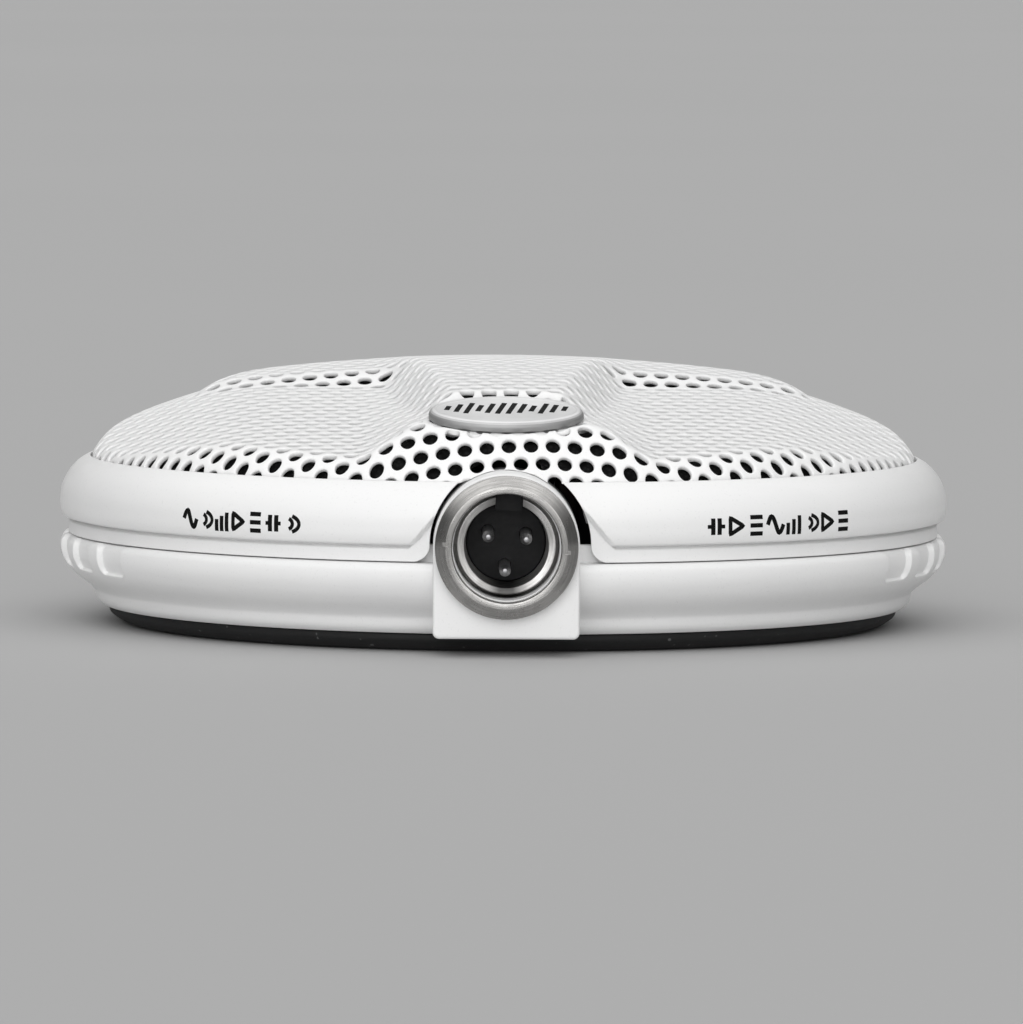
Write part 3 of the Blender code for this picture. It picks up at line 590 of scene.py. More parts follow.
def place(name, mesh, slot, *replaced, material=None):
    """Puts a mesh in the scene in its slot's material, unless another is named."""
    obj = bpy.data.objects.new(name, mesh)
    bpy.context.scene.collection.objects.link(obj)
    mesh.materials.append(MATS[material or slot])
    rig.ride(obj, "root")
    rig.slot(obj, slot)
    if replaced:
        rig.replaces(obj, *replaced)


# ---------------------------------------------------------------- grille surface
BADGE_Y, BADGE_Z, BADGE_TILT = -28.0, 20.83, math.radians(14.5)
BADGE_A, BADGE_B, BADGE_T = 6.8, 4.1, 0.95      # half length, half width, thickness

PLATFORM_TOP, PLATFORM_Y = 23.8, 2.0    # crown of the raised part
PLATFORM_CROWN = 370.0                  # squared distance over which it falls 1 mm
SHOULDER_TOP = 21.42
# value, change at the front middle, change at the sides
RIM_SLOPE = (1.42, -0.42, 0.50)
RIM_BLEND = (1.75, 0.35, -0.50)


def soft_min(a, b, blend):
    share = np.clip(0.5 + 0.5 * (b - a) / blend, 0, 1)
    return b + (a - b) * share - blend * share * (1 - share)


def step(value, edge, width):
    """Smooth rise from 0 to 1, centred on the edge."""
    t = np.clip((value - edge) / width + 0.5, 0, 1)
    return t * t * (3 - 2 * t)


def falloff(distance, start, width, drop):
    """Softly begun straight fall past the start: drop for each width."""
    return drop * np.logaddexp(0, (distance - start) / width)


def dome_height(x, y):
    """Low shoulders, a raised platform at the rear and a ridge running forward to the badge."""
    r = np.hypot(x, y)
    across = np.abs(x)
    platform = PLATFORM_TOP - (x ** 2 + (y - PLATFORM_Y) ** 2) / PLATFORM_CROWN
    # the shoulders fall to the sides, to the front (less in the middle) and to the rear
    sides = falloff(across, start=25.0, width=2.2, drop=0.84)
    spread = 0.40 + 0.60 * step(across, edge=10.0, width=7.0)
    front = falloff(-y, start=-4.0, width=3.0, drop=0.38 * spread)
    back = falloff(y, start=14.0, width=3.0, drop=0.30)
    shoulder = SHOULDER_TOP - sides - (front + back)
    # the platform starts along a slightly curved line, in a long rise and a short one
    bow = 0.004
    line = y - bow * x ** 2
    rise = 0.48 * step(line, edge=9.0, width=13.0) + 0.52 * step(line, edge=3.3, width=4.2)
    rear = rise * (1 - step(r, edge=28.2, width=3.2))
    # the ridge widens near the rim and towards the rear: half width and growth for each mm
    flare = np.maximum(r - 30, 0)
    half = 5.8 + 0.75 * flare + 0.13 * np.maximum(y + 26, 0)
    ridge = ((1 - step(across, edge=half, width=3.6 + 0.8 * flare))
             * (1 - step(y, edge=16.0, width=10.0)))
    raised = 1 - (1 - rear) * (1 - ridge)
    return shoulder + raised * (platform - shoulder)


def sheet_height(x, y):
    """Outer face of the grille: the dome, the slope at its rim and the badge seat."""
    r = np.hypot(x, y)
    nose = np.where(y < 0, 1 - step(np.abs(x), edge=9.5, width=7.0), 0.0)
    side = step(np.abs(x), edge=30.0, width=10.0)
    slope, blend = (value + at_nose * nose + at_side * side
                    for value, at_nose, at_side in (RIM_SLOPE, RIM_BLEND))
    z = soft_min(dome_height(x, y), RIM_Z + slope * (RIM_R - r), blend)
    # flat seat pressed under the badge
    gap = 0.03
    plane = (BADGE_Z - (BADGE_T + gap) / math.cos(BADGE_TILT)
             + (y - BADGE_Y) * math.tan(BADGE_TILT))
    oval = np.hypot(x / (BADGE_A + 0.2), (y - BADGE_Y) / (BADGE_B + 0.1))
    seat = 1 - step(oval, edge=1.16, width=0.26)
    return z - seat * np.maximum(z - plane, 0)


SLOPE_END = 36.98       # radius where the sheet starts to turn down inside the shell
SKIRT_R = 37.13
SKIRT_DROPS = (2.5, 12.0)   # stations down the skirt below the turn
BLANK_R = 46.0          # radius of the flat sheet
BLANK_STEP = 0.04
COLUMNS = 1440          # sections round the sheet


class Sheet:
    """Maps flat sheet coordinates to the formed surface along each radius.

    The blank is stretched rather than drawn in, so steep places hold longer holes.
    """

    DRAW = 0.45         # 1 keeps the arc length in the flat sheet, 0 keeps the plan view
    SKIRT_DRAW = 0.8    # flat length for each mm of turn and skirt

    def __init__(self):
        flat = np.arange(0, BLANK_R, BLANK_STEP)
        self.radius = np.zeros((COLUMNS, len(flat)))
        self.height = np.zeros((COLUMNS, len(flat)))
        for i, angle in enumerate(np.arange(COLUMNS) * 2 * math.pi / COLUMNS):
            line_r, line_z = self.section(angle)
            plan = np.maximum(np.diff(line_r), 1e-9)
            arc = np.hypot(np.diff(line_r), np.diff(line_z))
            kept = np.where(line_r[1:] < SLOPE_END, arc ** self.DRAW * plan ** (1 - self.DRAW),
                            arc * self.SKIRT_DRAW)
            length = np.concatenate([[0], np.cumsum(kept)])
            self.radius[i] = np.interp(flat, length, line_r)
            self.height[i] = np.interp(flat, length, line_z)

    @staticmethod
    def section(angle):
        """(r, z) line from the middle, over the slope, round the turn and down the skirt."""
        r = np.concatenate([np.arange(0, SLOPE_END, 0.05), [SLOPE_END]])
        z = sheet_height(r * math.cos(angle), r * math.sin(angle))
        slope = math.atan2(z[-2] - z[-1], r[-1] - r[-2])
        turn = math.pi / 2 - slope
        bend = (SKIRT_R - SLOPE_END) / (1 - math.sin(slope)) if turn > 0.02 else 0.3
        angles = slope + np.linspace(0, turn, 9)[1:]
        turn_r = SLOPE_END + bend * (np.sin(angles) - math.sin(slope))
        turn_z = z[-1] - bend * (math.cos(slope) - np.cos(angles))
        skirt_z = [turn_z[-1] - drop for drop in SKIRT_DROPS]
        return (np.concatenate([r, turn_r, [turn_r[-1]] * 2]),
                np.concatenate([z, turn_z, skirt_z]))

    def point(self, u, v):
        angle = np.arctan2(v, u) % (2 * math.pi)
        column = angle / (2 * math.pi) * COLUMNS
        this = np.floor(column).astype(int) % COLUMNS
        following = (this + 1) % COLUMNS
        round_share = column - np.floor(column)
        station = np.clip(np.hypot(u, v) / BLANK_STEP, 0, self.radius.shape[1] - 2.001)
        inner = np.floor(station).astype(int)
        out_share = station - inner

        def sample(table):
            a, b = (table[i, inner] * (1 - out_share) + table[i, inner + 1] * out_share
                    for i in (this, following))
            return a * (1 - round_share) + b * round_share

        r, z = sample(self.radius), sample(self.height)
        return np.stack([r * np.cos(angle), r * np.sin(angle), z], 1)

    def normal(self, u, v):
        reach = 0.12
        along_u = self.point(u + reach, v) - self.point(u - reach, v)
        along_v = self.point(u, v + reach) - self.point(u, v - reach)
        n = np.cross(along_u, along_v)
        return n / np.linalg.norm(n, axis=1, keepdims=True)


# ---------------------------------------------------------------- perforated grille
SHEET = 0.5             # thickness
PITCH = 1.96
HOLE_R = 0.655
HOLE_U, HOLE_V = -0.88, 0.92    # where the field of holes sits on the blank
FIELD_TURN = math.radians(3.4)  # and how far it is turned
FIELD_ROWS = 46                 # rows searched either side of the middle
FIELD_BOTTOM = 13.2             # holes lower than this are left out beyond FIELD_R
FIELD_R = 36.5
# section through one cell: radius (None is the cell's hexagon), depth below the outer face
HOLE_RINGS = (
    (None, 0.0), (HOLE_R + 0.130, 0.0), (HOLE_R + 0.052, 0.026), (HOLE_R + 0.010, 0.09),
    (HOLE_R, 0.17), (HOLE_R, SHEET - 0.12), (HOLE_R + 0.10, SHEET), (None, SHEET),
)


def hexagon(side):
    """Outline of one cell with a corner towards +v and side points to each edge."""
    reach = PITCH / math.sqrt(3)
    corners = [np.array([reach * math.cos(math.radians(30 + 60 * k)),
                         reach * math.sin(math.radians(30 + 60 * k))]) for k in range(6)]
    return np.array([a + (b - a) * j / side
                     for a, b in zip(corners, corners[1:] + corners[:1]) for j in range(side)])


def turned_field(points):
    c, s = math.cos(FIELD_TURN), math.sin(FIELD_TURN)
    return points[:, 0] * c - points[:, 1] * s, points[:, 0] * s + points[:, 1] * c


def hole_centres(sheet):
    centres = []
    for j in range(-FIELD_ROWS, FIELD_ROWS + 1):
        for i in range(-FIELD_ROWS, FIELD_ROWS + 1):
            u = (i + 0.5 * (j % 2)) * PITCH + HOLE_U
            v = j * (PITCH * math.sqrt(3) / 2) + HOLE_V
            if math.hypot(u, v) < BLANK_R:
                centres.append((u, v))
    centres = np.array(centres)
    formed = sheet.point(*turned_field(centres))
    keep = (formed[:, 2] > FIELD_BOTTOM) | (np.hypot(formed[:, 0], formed[:, 1]) < FIELD_R)
    return centres[keep]


def cell_points(centres, outline):
    """Flat points, their depths and the point numbers by (cell, ring, place round the ring).

    Neighbouring cells share the points of their hexagons.
    """
    n = len(outline)
    angle = np.arctan2(outline[:, 1], outline[:, 0])
    circle = np.stack([np.cos(angle), np.sin(angle)], 1)
    shared = {}
    flat, depths = [], []
    cell = np.zeros((len(centres), len(HOLE_RINGS), n), int)
    for c, (centre_u, centre_v) in enumerate(centres):
        for ring, (radius, depth) in enumerate(HOLE_RINGS):
            if radius is None:
                for k in range(n):
                    u, v = centre_u + outline[k, 0], centre_v + outline[k, 1]
                    key = (round(u * 500), round(v * 500), ring)
                    if key not in shared:
                        shared[key] = len(flat)
                        flat.append((u, v))
                        depths.append(depth)
                    cell[c, ring, k] = shared[key]
            else:
                first = len(flat)
                flat.extend(map(tuple, np.array([centre_u, centre_v]) + circle * radius))
                depths.extend([depth] * n)
                cell[c, ring] = np.arange(first, first + n)
    return np.array(flat), np.array(depths), cell


def perforated(sheet):
    """Hexagonal field of round holes as one closed sheet with softened hole edges."""
    outline = hexagon(3 if not QUICK else 2)
    flat, depths, cell = cell_points(hole_centres(sheet), outline)
    u, v = turned_field(flat)
    points = sheet.point(u, v) - sheet.normal(u, v) * depths[:, None]
    after = np.roll(cell, -1, axis=2)
    quads = np.concatenate([
        np.stack([cell[:, r], after[:, r], after[:, r + 1], cell[:, r + 1]], 2).reshape(-1, 4)
        for r in range(len(HOLE_RINGS) - 1)])
    # close the outer outline of the field, whose edges belong to one cell only
    top = np.stack([cell[:, 0], after[:, 0]], 2).reshape(-1, 2)
    low = np.stack([cell[:, -1], after[:, -1]], 2).reshape(-1, 2)
    _, inverse, uses = np.unique(np.sort(top, 1), axis=0, return_inverse=True,
                                 return_counts=True)
    single = uses[inverse.reshape(-1)] == 1
    wall = np.stack([low[single, 0], low[single, 1], top[single, 1], top[single, 0]], 1)
    mesh = bpy.data.meshes.new("grille_perforated")
    mesh.from_pydata((points * MM).tolist(), [], np.concatenate([quads, wall]).tolist())
    mesh.validate()
    outward(mesh)
    shade(mesh, 50)
    return mesh


# flared feet of the arch: width and height of the quarter oval, then the outer edge's place
FLARE_WIDE, FLARE_TALL = 1.75, 1.45
FLARE_OUT, FLARE_DOWN = 2.6, 1.56


def arch(half, bottom, centre_x=0.0, corner=0.0, flare=False):
    """Tombstone outline about the connector axis, (x, z): plain, round-cornered or flared."""
    angles = [math.pi * k / 48 for k in range(49)]
    points = [(centre_x + half * math.cos(a), AXIS_Z + half * math.sin(a)) for a in angles]
    if flare:
        foot = [(-half, AXIS_Z - 0.2)]
        for k in range(1, 13):
            a = -math.pi / 2 * k / 12
            foot.append((-half - FLARE_WIDE + FLARE_WIDE * math.cos(a),
                         AXIS_Z - 0.1 + FLARE_TALL * math.sin(a)))
        foot += [(-half - FLARE_OUT, AXIS_Z - FLARE_DOWN), (-half - FLARE_OUT, bottom)]
        points += [(centre_x + x, z) for x, z in foot]
        points += [(centre_x - x, z) for x, z in reversed(foot)]
    elif corner:
        for start, side in ((math.pi, -1), (1.5 * math.pi, 1)):
            for k in range(7):
                a = start + math.pi / 2 * k / 6
                points.append((centre_x + side * (half - corner) + corner * math.cos(a),
                               bottom + corner + corner * math.sin(a)))
    else:
        points += [(centre_x - half, bottom), (centre_x + half, bottom)]
    return points


def flat_topped_arch(top):
    """Shell opening cut off level; of the points on the level part only the ends stay."""
    outline = [(x, min(z, top)) for x, z in arch(ARCH_R - 0.04, 5.0, ARCH_X)]
    low = [z < top - 0.01 for _, z in outline]
    return [p for i, p in enumerate(outline) if any(low[max(i - 1, 0):i + 2])]


def grille_mesh():
    mesh = perforated(Sheet())
    for name, outline in (("arch_cut", arch(BOSS_HALF + 0.07, 5.0)),
                          ("arch_low", flat_topped_arch(RIM_Z - 0.08))):
        mesh = cut(mesh, prism_y(name, outline), smooth=50, solver="MANIFOLD")
    return mesh


# ---------------------------------------------------------------- grille liner
LINER_DEPTHS = (SHEET + 0.45, SHEET + 1.15)     # its two faces below the grille's outer face


def liner_mesh():
    """Thin dark foam that follows the sheet just under it."""
    count = 144
    radii = np.concatenate([np.linspace(0.6, 33.0, 60), [34.0, 34.8, 35.4, 36.0]])
    r, angle = np.meshgrid(radii, 2 * math.pi * np.arange(count) / count, indexing="ij")
    x, y = r * np.cos(angle), r * np.sin(angle)
    reach = 0.4
    slope_x = (sheet_height(x + reach, y) - sheet_height(x - reach, y)) / (2 * reach)
    slope_y = (sheet_height(x, y + reach) - sheet_height(x, y - reach)) / (2 * reach)
    steep = np.sqrt(1 + slope_x * slope_x + slope_y * slope_y)
    height = sheet_height(x, y)
    verts = np.concatenate([np.stack([x, y, height - depth * steep], 2).reshape(-1, 3)
                            for depth in LINER_DEPTHS])
    rings = len(radii)
    faces = []
    for first in (0, rings * count):
        faces += ring_quads(rings, count, first)
        faces.append(tuple(range(first, first + count)))
    upper, lower = (rings - 1) * count, (2 * rings - 1) * count     # outer rings of the faces
    for k in range(count):
        after = (k + 1) % count
        faces.append((upper + k, upper + after, lower + after, lower + k))
    opening = prism_y("arch_cut", arch(ARCH_R + 0.25, 5.0, ARCH_X))
    return cut(solid("liner", verts, faces, 60), opening, smooth=60, solver="MANIFOLD")


# ---------------------------------------------------------------- housing helpers
COARSE = 1.0 if not QUICK else 2.5      # degrees between columns away from the fine parts
HOUSING_SMOOTH = 38


def bulge(points):
    """Smooth curve r(z) through (r, z) points, as cubics with averaged slopes."""
    z = np.array([p[1] for p in points], float)
    r = np.array([p[0] for p in points], float)
    chord = np.diff(r) / np.diff(z)
    slope = np.concatenate([[chord[0]], (chord[1:] + chord[:-1]) / 2, [chord[-1]]])

    def radius_at(height):
        height = np.clip(height, z[0], z[-1])
        i = np.clip(np.searchsorted(z, height) - 1, 0, len(z) - 2)
        gap = z[i + 1] - z[i]
        t = (height - z[i]) / gap
        return ((2 * t ** 3 - 3 * t ** 2 + 1) * r[i]
                + (t ** 3 - 2 * t ** 2 + t) * gap * slope[i]
                + (-2 * t ** 3 + 3 * t ** 2) * r[i + 1]
                + (t ** 3 - t ** 2) * gap * slope[i + 1])

    return radius_at


def fine_angles(ranges, fine):
    """Sorted angles in radians: coarse everywhere, fine inside the (low, high) degree ranges."""
    out = list(np.arange(0, 360, COARSE))
    for low, high in ranges:
        out = [a for a in out if not low - 1e-6 <= a <= high + 1e-6]
        out += list(np.arange(low, high + fine / 2, fine))
    return np.radians(np.array(sorted(set(np.round(out, 5)))))


# ---------------------------------------------------------------- upper shell
# raised band round the shell: r, z
BAND = bulge([
    (39.62, 9.30), (39.80, 9.7), (39.95, 10.2), (SHELL_R, 11.0), (39.92, 12.0), (39.55, 13.0),
    (38.95, 13.9), (38.25, 14.55), (37.7, 14.88),
])
LIP_R = 39.25           # plain lip below the band
SHELL_BOTTOM = 8.1
SHELL_INNER_TOP = 37.32
# half width of the gap in the band at the connector, for each height
GAP_Z = [9.30, 9.45, 10.2, 11.4, 12.5, 13.4, 14.4, 15.0]
GAP_HALF = [9.15, 9.0, 8.25, 7.25, 6.35, 5.75, 5.05, 4.8]
SHELL_HEIGHTS = [
    8.13, 8.22, 8.5, 8.8, 9.05, 9.2, 9.26, 9.31, 9.36, 9.40, 9.44, 9.48, 9.51, 9.54, 9.57, 9.60,
    9.63, 9.67, 9.73, *np.arange(9.85, 14.4, 0.15), 14.45, 14.6, 14.72, 14.82, 14.88,
]
# round rows before and after the outer face: r, z
SHELL_LIP = [(38.5, SHELL_BOTTOM), (LIP_R - 0.10, SHELL_BOTTOM), (LIP_R - 0.03, 8.115)]
SHELL_INSIDE = [
    (37.55, 14.945), (37.42, 14.975), (SHELL_INNER_TOP + 0.03, 14.985), (SHELL_INNER_TOP, 14.95),
    (SHELL_INNER_TOP, 13.6), (38.3, 13.58), (38.3, 8.2),
]


def shell_mesh():
    angles = fine_angles([(250, 290)], fine=0.16 if not QUICK else 0.4)
    across = np.abs(SHELL_R * np.cos(angles) - ARCH_X - 0.15)
    front = np.sin(angles) < 0

    def outer(z):
        band = BAND(z)
        rise = step(z, edge=9.56, width=0.20)
        # shadow groove under the band
        groove = 0.46 * math.exp(-((z - 9.42) / 0.13) ** 2)
        around = LIP_R + (band - LIP_R) * rise - groove
        in_gap = (1 - step(across, edge=np.interp(z, GAP_Z, GAP_HALF), width=0.30)) * front
        flank = np.minimum(band, LIP_R + 0.02)
        return around + (flank - around) * in_gap

    rows = SHELL_LIP + [(outer(z), z) for z in SHELL_HEIGHTS] + SHELL_INSIDE
    mesh = grid_ring("upper_shell_fine", angles, rows, HOUSING_SMOOTH)
    opening = prism_y("arch_cut", arch(ARCH_R, 7.0, ARCH_X, flare=True), rear=-30.0)
    return cut(mesh, opening, smooth=HOUSING_SMOOTH, solver="MANIFOLD")


# ---------------------------------------------------------------- base housing
# outer face of the base: r, z
LOWER = bulge([
    (36.05, BASE_UNDER), (36.62, 2.05), (36.84, 2.6), (36.94, 3.05), (37.2, 3.35), (37.7, 3.75),
    (38.4, 4.25), (39.15, 4.95), (39.68, 5.75), (39.93, 6.4), (SHELL_R, 7.0), (39.93, 7.55),
    (39.72, 7.86),
])
BASE_HEIGHTS = [
    1.66, 1.75, 1.95, 2.2, 2.5, 2.8, 3.0, 3.1, 3.2, 3.3, 3.45, 3.65, 3.9, 4.2, 4.5, 4.8, 5.0, 5.1,
    5.18, 5.26, 5.34, 5.42, 5.5, 5.6, 5.75, 5.95, 6.2, 6.5, 6.8, 7.1, 7.3, 7.45, 7.55, 7.65, 7.75,
    7.84,
]
PARTING_Z = 8.0
# rounded top edge: inset from the face at 7.86, height
BASE_TOP_EDGE = [(0.06, 7.92), (0.20, 7.975), (0.42, PARTING_Z)]
# spigot, inner wall and floor edge: r, z
BASE_INSIDE = [
    (38.15, PARTING_Z), (38.0, 8.05), (38.0, 9.5), (37.9, 9.6), (37.2, 9.6), (37.1, 9.5),
    (37.1, 4.9), (36.3, BASE_FLOOR_TOP), (34.0, BASE_FLOOR_TOP),
]
NOTCHES = 7             # on each side of the base
NOTCH_PITCH = 9.5       # degrees
NOTCH_WIDE = 6.2        # degrees
NOTCH_DEEP = 0.50
NOTCH_BOTTOM, NOTCH_CORNER = 5.35, 0.55
RIM_ARC_R = 39.6        # radius at which the notches are measured along the rim
# front edge of the boss: y, inset of the outline
BOSS_STATIONS = [
    (-30.9, 0.0), (BOSS_FRONT + 0.28, 0.0), (BOSS_FRONT + 0.14, 0.035), (BOSS_FRONT + 0.04, 0.12),
    (BOSS_FRONT, 0.26),
]
BOSS_CORNER = 0.55
BORE_R = 4.62


def base_ring():
    """Outer wall of the base, with a row of notches on the left and on the right."""
    angles = fine_angles([(0, 34), (146, 214), (326, 359.9)], fine=0.14 if not QUICK else 0.4)
    degrees = np.degrees(angles)
    nearest = np.full_like(angles, 99.0)    # degrees to the nearest notch's middle
    for middle in (0.0, 180.0):
        for k in range(NOTCHES):
            centre = middle + (k - (NOTCHES - 1) / 2) * NOTCH_PITCH
            nearest = np.minimum(nearest, np.abs((degrees - centre + 180) % 360 - 180))
    arc = nearest * math.pi / 180 * RIM_ARC_R
    plain_half = NOTCH_WIDE / 2 * math.pi / 180 * RIM_ARC_R

    def notched(r, z):
        """Radius with the notches sunk: slots with rounded lower corners, open at the top."""
        # widens slightly where the slot meets the top edge
        half = plain_half + 0.45 * max(0.0, (z - 7.35) / 0.65) ** 2
        beside = arc - (half - NOTCH_CORNER)
        below = (NOTCH_BOTTOM + NOTCH_CORNER) - z
        outside = np.where((beside > 0) & (below > 0),
                           np.hypot(np.maximum(beside, 0), max(below, 0)) - NOTCH_CORNER,
                           np.maximum(arc - half, NOTCH_BOTTOM - z))
        return r - NOTCH_DEEP * (1 - step(outside, edge=0.0, width=0.28))

    rows = [(34.0, BASE_UNDER), (35.66, BASE_UNDER)]
    rows += [(notched(LOWER(z), z), z) for z in BASE_HEIGHTS]
    rows += [(notched(LOWER(7.86) - inset, PARTING_Z), z) for inset, z in BASE_TOP_EDGE]
    return grid_ring("base_housing_fine", angles, rows + BASE_INSIDE, HOUSING_SMOOTH)


def boss_mesh():
    """Tombstone boss cast with the base; its front edge is softened."""
    rings = []
    for y, inset in BOSS_STATIONS:
        outline = arch(BOSS_HALF - inset, BASE_UNDER + inset, corner=max(BOSS_CORNER - inset, 0.2))
        rings.append([(x, y, z) for x, z in outline])
    return capped_stack("boss", rings, HOUSING_SMOOTH)


def base_mesh():
    mesh = cut(base_ring(), boss_mesh(), "UNION", HOUSING_SMOOTH, "MANIFOLD")
    circle = [(BORE_R * math.cos(2 * math.pi * k / 64), AXIS_Z + BORE_R * math.sin(2 * math.pi * k / 64))
              for k in range(64)]
    return cut(mesh, prism_y("bore", circle), "DIFFERENCE", HOUSING_SMOOTH, "MANIFOLD")


def floor_plate_mesh():
    radius = 34.3
    return lathe("floor_disc", [(0, BASE_UNDER), (radius, BASE_UNDER), (radius, BASE_FLOOR_TOP),
                                (0, BASE_FLOOR_TOP)], 96)


# ---------------------------------------------------------------- foot pad
# r, z, corner radius
PAD_PROFILE = [
    (0, 0, 0), (33.35, 0, 0.5), (34.5, 0.22, 1.5), (35.54, 0.95, 0.6), (35.54, 1.56, 0.12),
    (0, 1.56, 0),
]


def foot_pad_mesh():
    return lathe("foot_pad_fine", rounded(PAD_PROFILE, steps=5), 256, 50)


# ---------------------------------------------------------------- connector
# Its pieces are made about +Z, which is then turned to point forward (-Y); their y turns to up.
ROLL = math.radians(3.5)
TO_CONNECTOR = (shift(0, 0, AXIS_Z) @ Matrix.Rotation(ROLL, 4, "Y")
                @ Matrix.Rotation(math.pi / 2, 4, "X"))
TURNED_SMOOTH = 30
# profiles: r, distance forward, corner radius
NUT_PROFILE = [
    (4.72, 41.05, 0.03), (6.2, 41.05, 0.06), (6.2, 41.95, 0.10), (5.28, 42.7, 0.06),
    (4.80, 42.7, 0.03), (4.72, 42.6, 0.03),
]
NUT_NOTCH_SIZE = (0.55, 0.36, 1.0)
NUT_NOTCH_R, NUT_NOTCH_AT = 5.28, 42.9
BARREL_PROFILE = [
    (3.5, 29.2, 0.05), (5.15, 29.2, 0.05), (5.15, 30.3, 0.05), (4.58, 30.3, 0.05),
    (4.58, 37.2, 0.05), (4.27, 37.3, 0.05), (4.27, 38.9, 0.04), (4.16, 38.9, 0.04),
    (3.66, 38.78, 0.10), (3.60, 34.3, 0.03), (3.5, 34.1, 0.03),
]
INSERT_PROFILE = [(0, 28.4, 0), (3.46, 28.4, 0.05), (3.46, 34.0, 0.15), (0, 34.0, 0)]
PIN_PROFILE = [
    (0, 26.4, 0), (0.5, 26.4, 0.05), (0.5, 41.0, 0.15), (0.22, 41.75, 0.12), (0, 41.8, 0),
]
PIN_HOLE = [(0, 27.0), (0.56, 27.0), (0.55, 33.9), (0.60, 34.2), (0, 34.2)]     # r, forward
PIN_CIRCLE, PIN_DROP = 1.9, 0.12
PINS = [(PIN_CIRCLE * math.cos(math.radians(a)), PIN_CIRCLE * math.sin(math.radians(a)) - PIN_DROP)
        for a in (150.0, 30.0, 270.0)]


def nut_notch(side):
    bm = bmesh.new()
    bmesh.ops.create_cube(bm, size=1.0)
    bmesh.ops.scale(bm, vec=Vector(NUT_NOTCH_SIZE) * MM, verts=bm.verts)
    middle = Vector((side * NUT_NOTCH_R, 0, NUT_NOTCH_AT)) * MM
    bmesh.ops.translate(bm, vec=middle, verts=bm.verts)
    mesh = bpy.data.meshes.new("notch")
    bm.to_mesh(mesh)
    bm.free()
    return mesh


def nut_mesh():
    """Chamfered ring with a notch at either side of its front."""
    mesh = lathe("nut", rounded(NUT_PROFILE, steps=3), 192, TURNED_SMOOTH)
    for side in (-1, 1):
        mesh = cut(mesh, nut_notch(side), smooth=TURNED_SMOOTH)
    return transformed(mesh, TO_CONNECTOR)


def barrel_mesh():
    """Connector shell with a keyway at the top."""
    mesh = lathe("barrel", rounded(BARREL_PROFILE, steps=4), 160, TURNED_SMOOTH)
    keyway = block(x=(-1.19, 1.19), y=(3.0, 4.42), z=(31.0, 40.0))
    return transformed(cut(mesh, keyway, smooth=TURNED_SMOOTH), TO_CONNECTOR)


def insert_mesh():
    """Core with a key at the top and a clearance hole round each contact."""
    mesh = lathe("insert", rounded(INSERT_PROFILE, steps=4), 96, TURNED_SMOOTH)
    key = block(x=(-1.14, 1.14), y=(2.9, 4.38), z=(31.1, 36.6))
    mesh = cut(mesh, key, "UNION", TURNED_SMOOTH)
    for x, y in PINS:
        hole = transformed(lathe("hole", PIN_HOLE, 32), shift(x, y, 0))
        mesh = cut(mesh, hole, smooth=TURNED_SMOOTH)
    return transformed(mesh, TO_CONNECTOR)


def pin_mesh(x, y):
    mesh = transformed(lathe("pin", rounded(PIN_PROFILE, steps=5), 40, 40), shift(x, y, 0))
    return transformed(mesh, TO_CONNECTOR)


# ---------------------------------------------------------------- badge
TO_BADGE = shift(0, BADGE_Y, BADGE_Z) @ Matrix.Rotation(BADGE_TILT, 4, "X")
# inset from the oval, height from the rim's top
BADGE_STATIONS = [
    (0.15, -BADGE_T), (0.0, -BADGE_T + 0.15), (0.0, -0.52), (0.04, -0.37), (0.14, -0.21),
    (0.28, -0.08), (0.42, -0.015), (0.52, 0.0), (0.60, -0.01), (0.68, -0.06), (0.76, -0.07),
]


def badge_mesh():
    """Oval plate with a low raised rim."""
    rings = []
    for inset, height in BADGE_STATIONS:
        ring = []
        for k in range(160):
            c, s = math.cos(2 * math.pi * k / 160), math.sin(2 * math.pi * k / 160)
            length = math.hypot(c / BADGE_A, s / BADGE_B)
            ring.append((BADGE_A * c - inset * (c / BADGE_A) / length,
                         BADGE_B * s - inset * (s / BADGE_B) / length, height))
        rings.append(ring)
    return transformed(capped_stack("badge_fine", rings, 30), TO_BADGE)


# ---------------------------------------------------------------- printed marks
INK_SPACING = 0.12      # between points along a stroke
INK_SUNK = -0.03        # lift of the ink's underside
MARK_HALF, MARK_LINE = 0.93, 0.42   # half height and stroke width
MARK_Z = 11.12
# side, kinds in order, first and last angle in degrees from the front
MARK_ROWS = (
    ("left", ("ripple", "waves", "steps", "wedge", "bars", "plates", "waves"), -44.9, -26.5),
    ("right", ("plates", "wedge", "bars", "ripple", "steps", "waves", "wedge", "bars"),
     25.7, 49.3),
)
EMBLEM_PITCH, EMBLEM_LEAN, EMBLEM_LINE, EMBLEM_MIDDLE = 0.93, 0.22, 0.46, 0.35
# half height of each slanted stroke
EMBLEM_HALVES = (0.55, 1.05, 1.45, 0.85, 1.30, 1.50, 1.50, 1.25, 0.80, 1.40, 1.05, 0.60)
EMBLEM_FACE = -0.075


def ribbon(points, width, closed):
    """Left and right edges of a stroke along 2-D points."""
    corners = [np.array(p, float) for p in points]
    if closed:
        corners.append(corners[0])
    dense = [corners[0]]
    for a, b in zip(corners, corners[1:]):
        count = max(1, int(np.linalg.norm(b - a) / INK_SPACING))
        dense += [a + (b - a) * (i + 1) / count for i in range(count)]
    if closed:
        dense.pop()
    dense = np.array(dense)
    n = len(dense)
    along = np.zeros_like(dense)
    for i in range(n):
        low, high = (i - 1, (i + 1) % n) if closed else (max(i - 1, 0), min(i + 1, n - 1))
        along[i] = dense[high] - dense[low]
    along /= np.linalg.norm(along, axis=1, keepdims=True)
    side = np.stack([-along[:, 1], along[:, 0]], 1) * width / 2
    return dense + side, dense - side


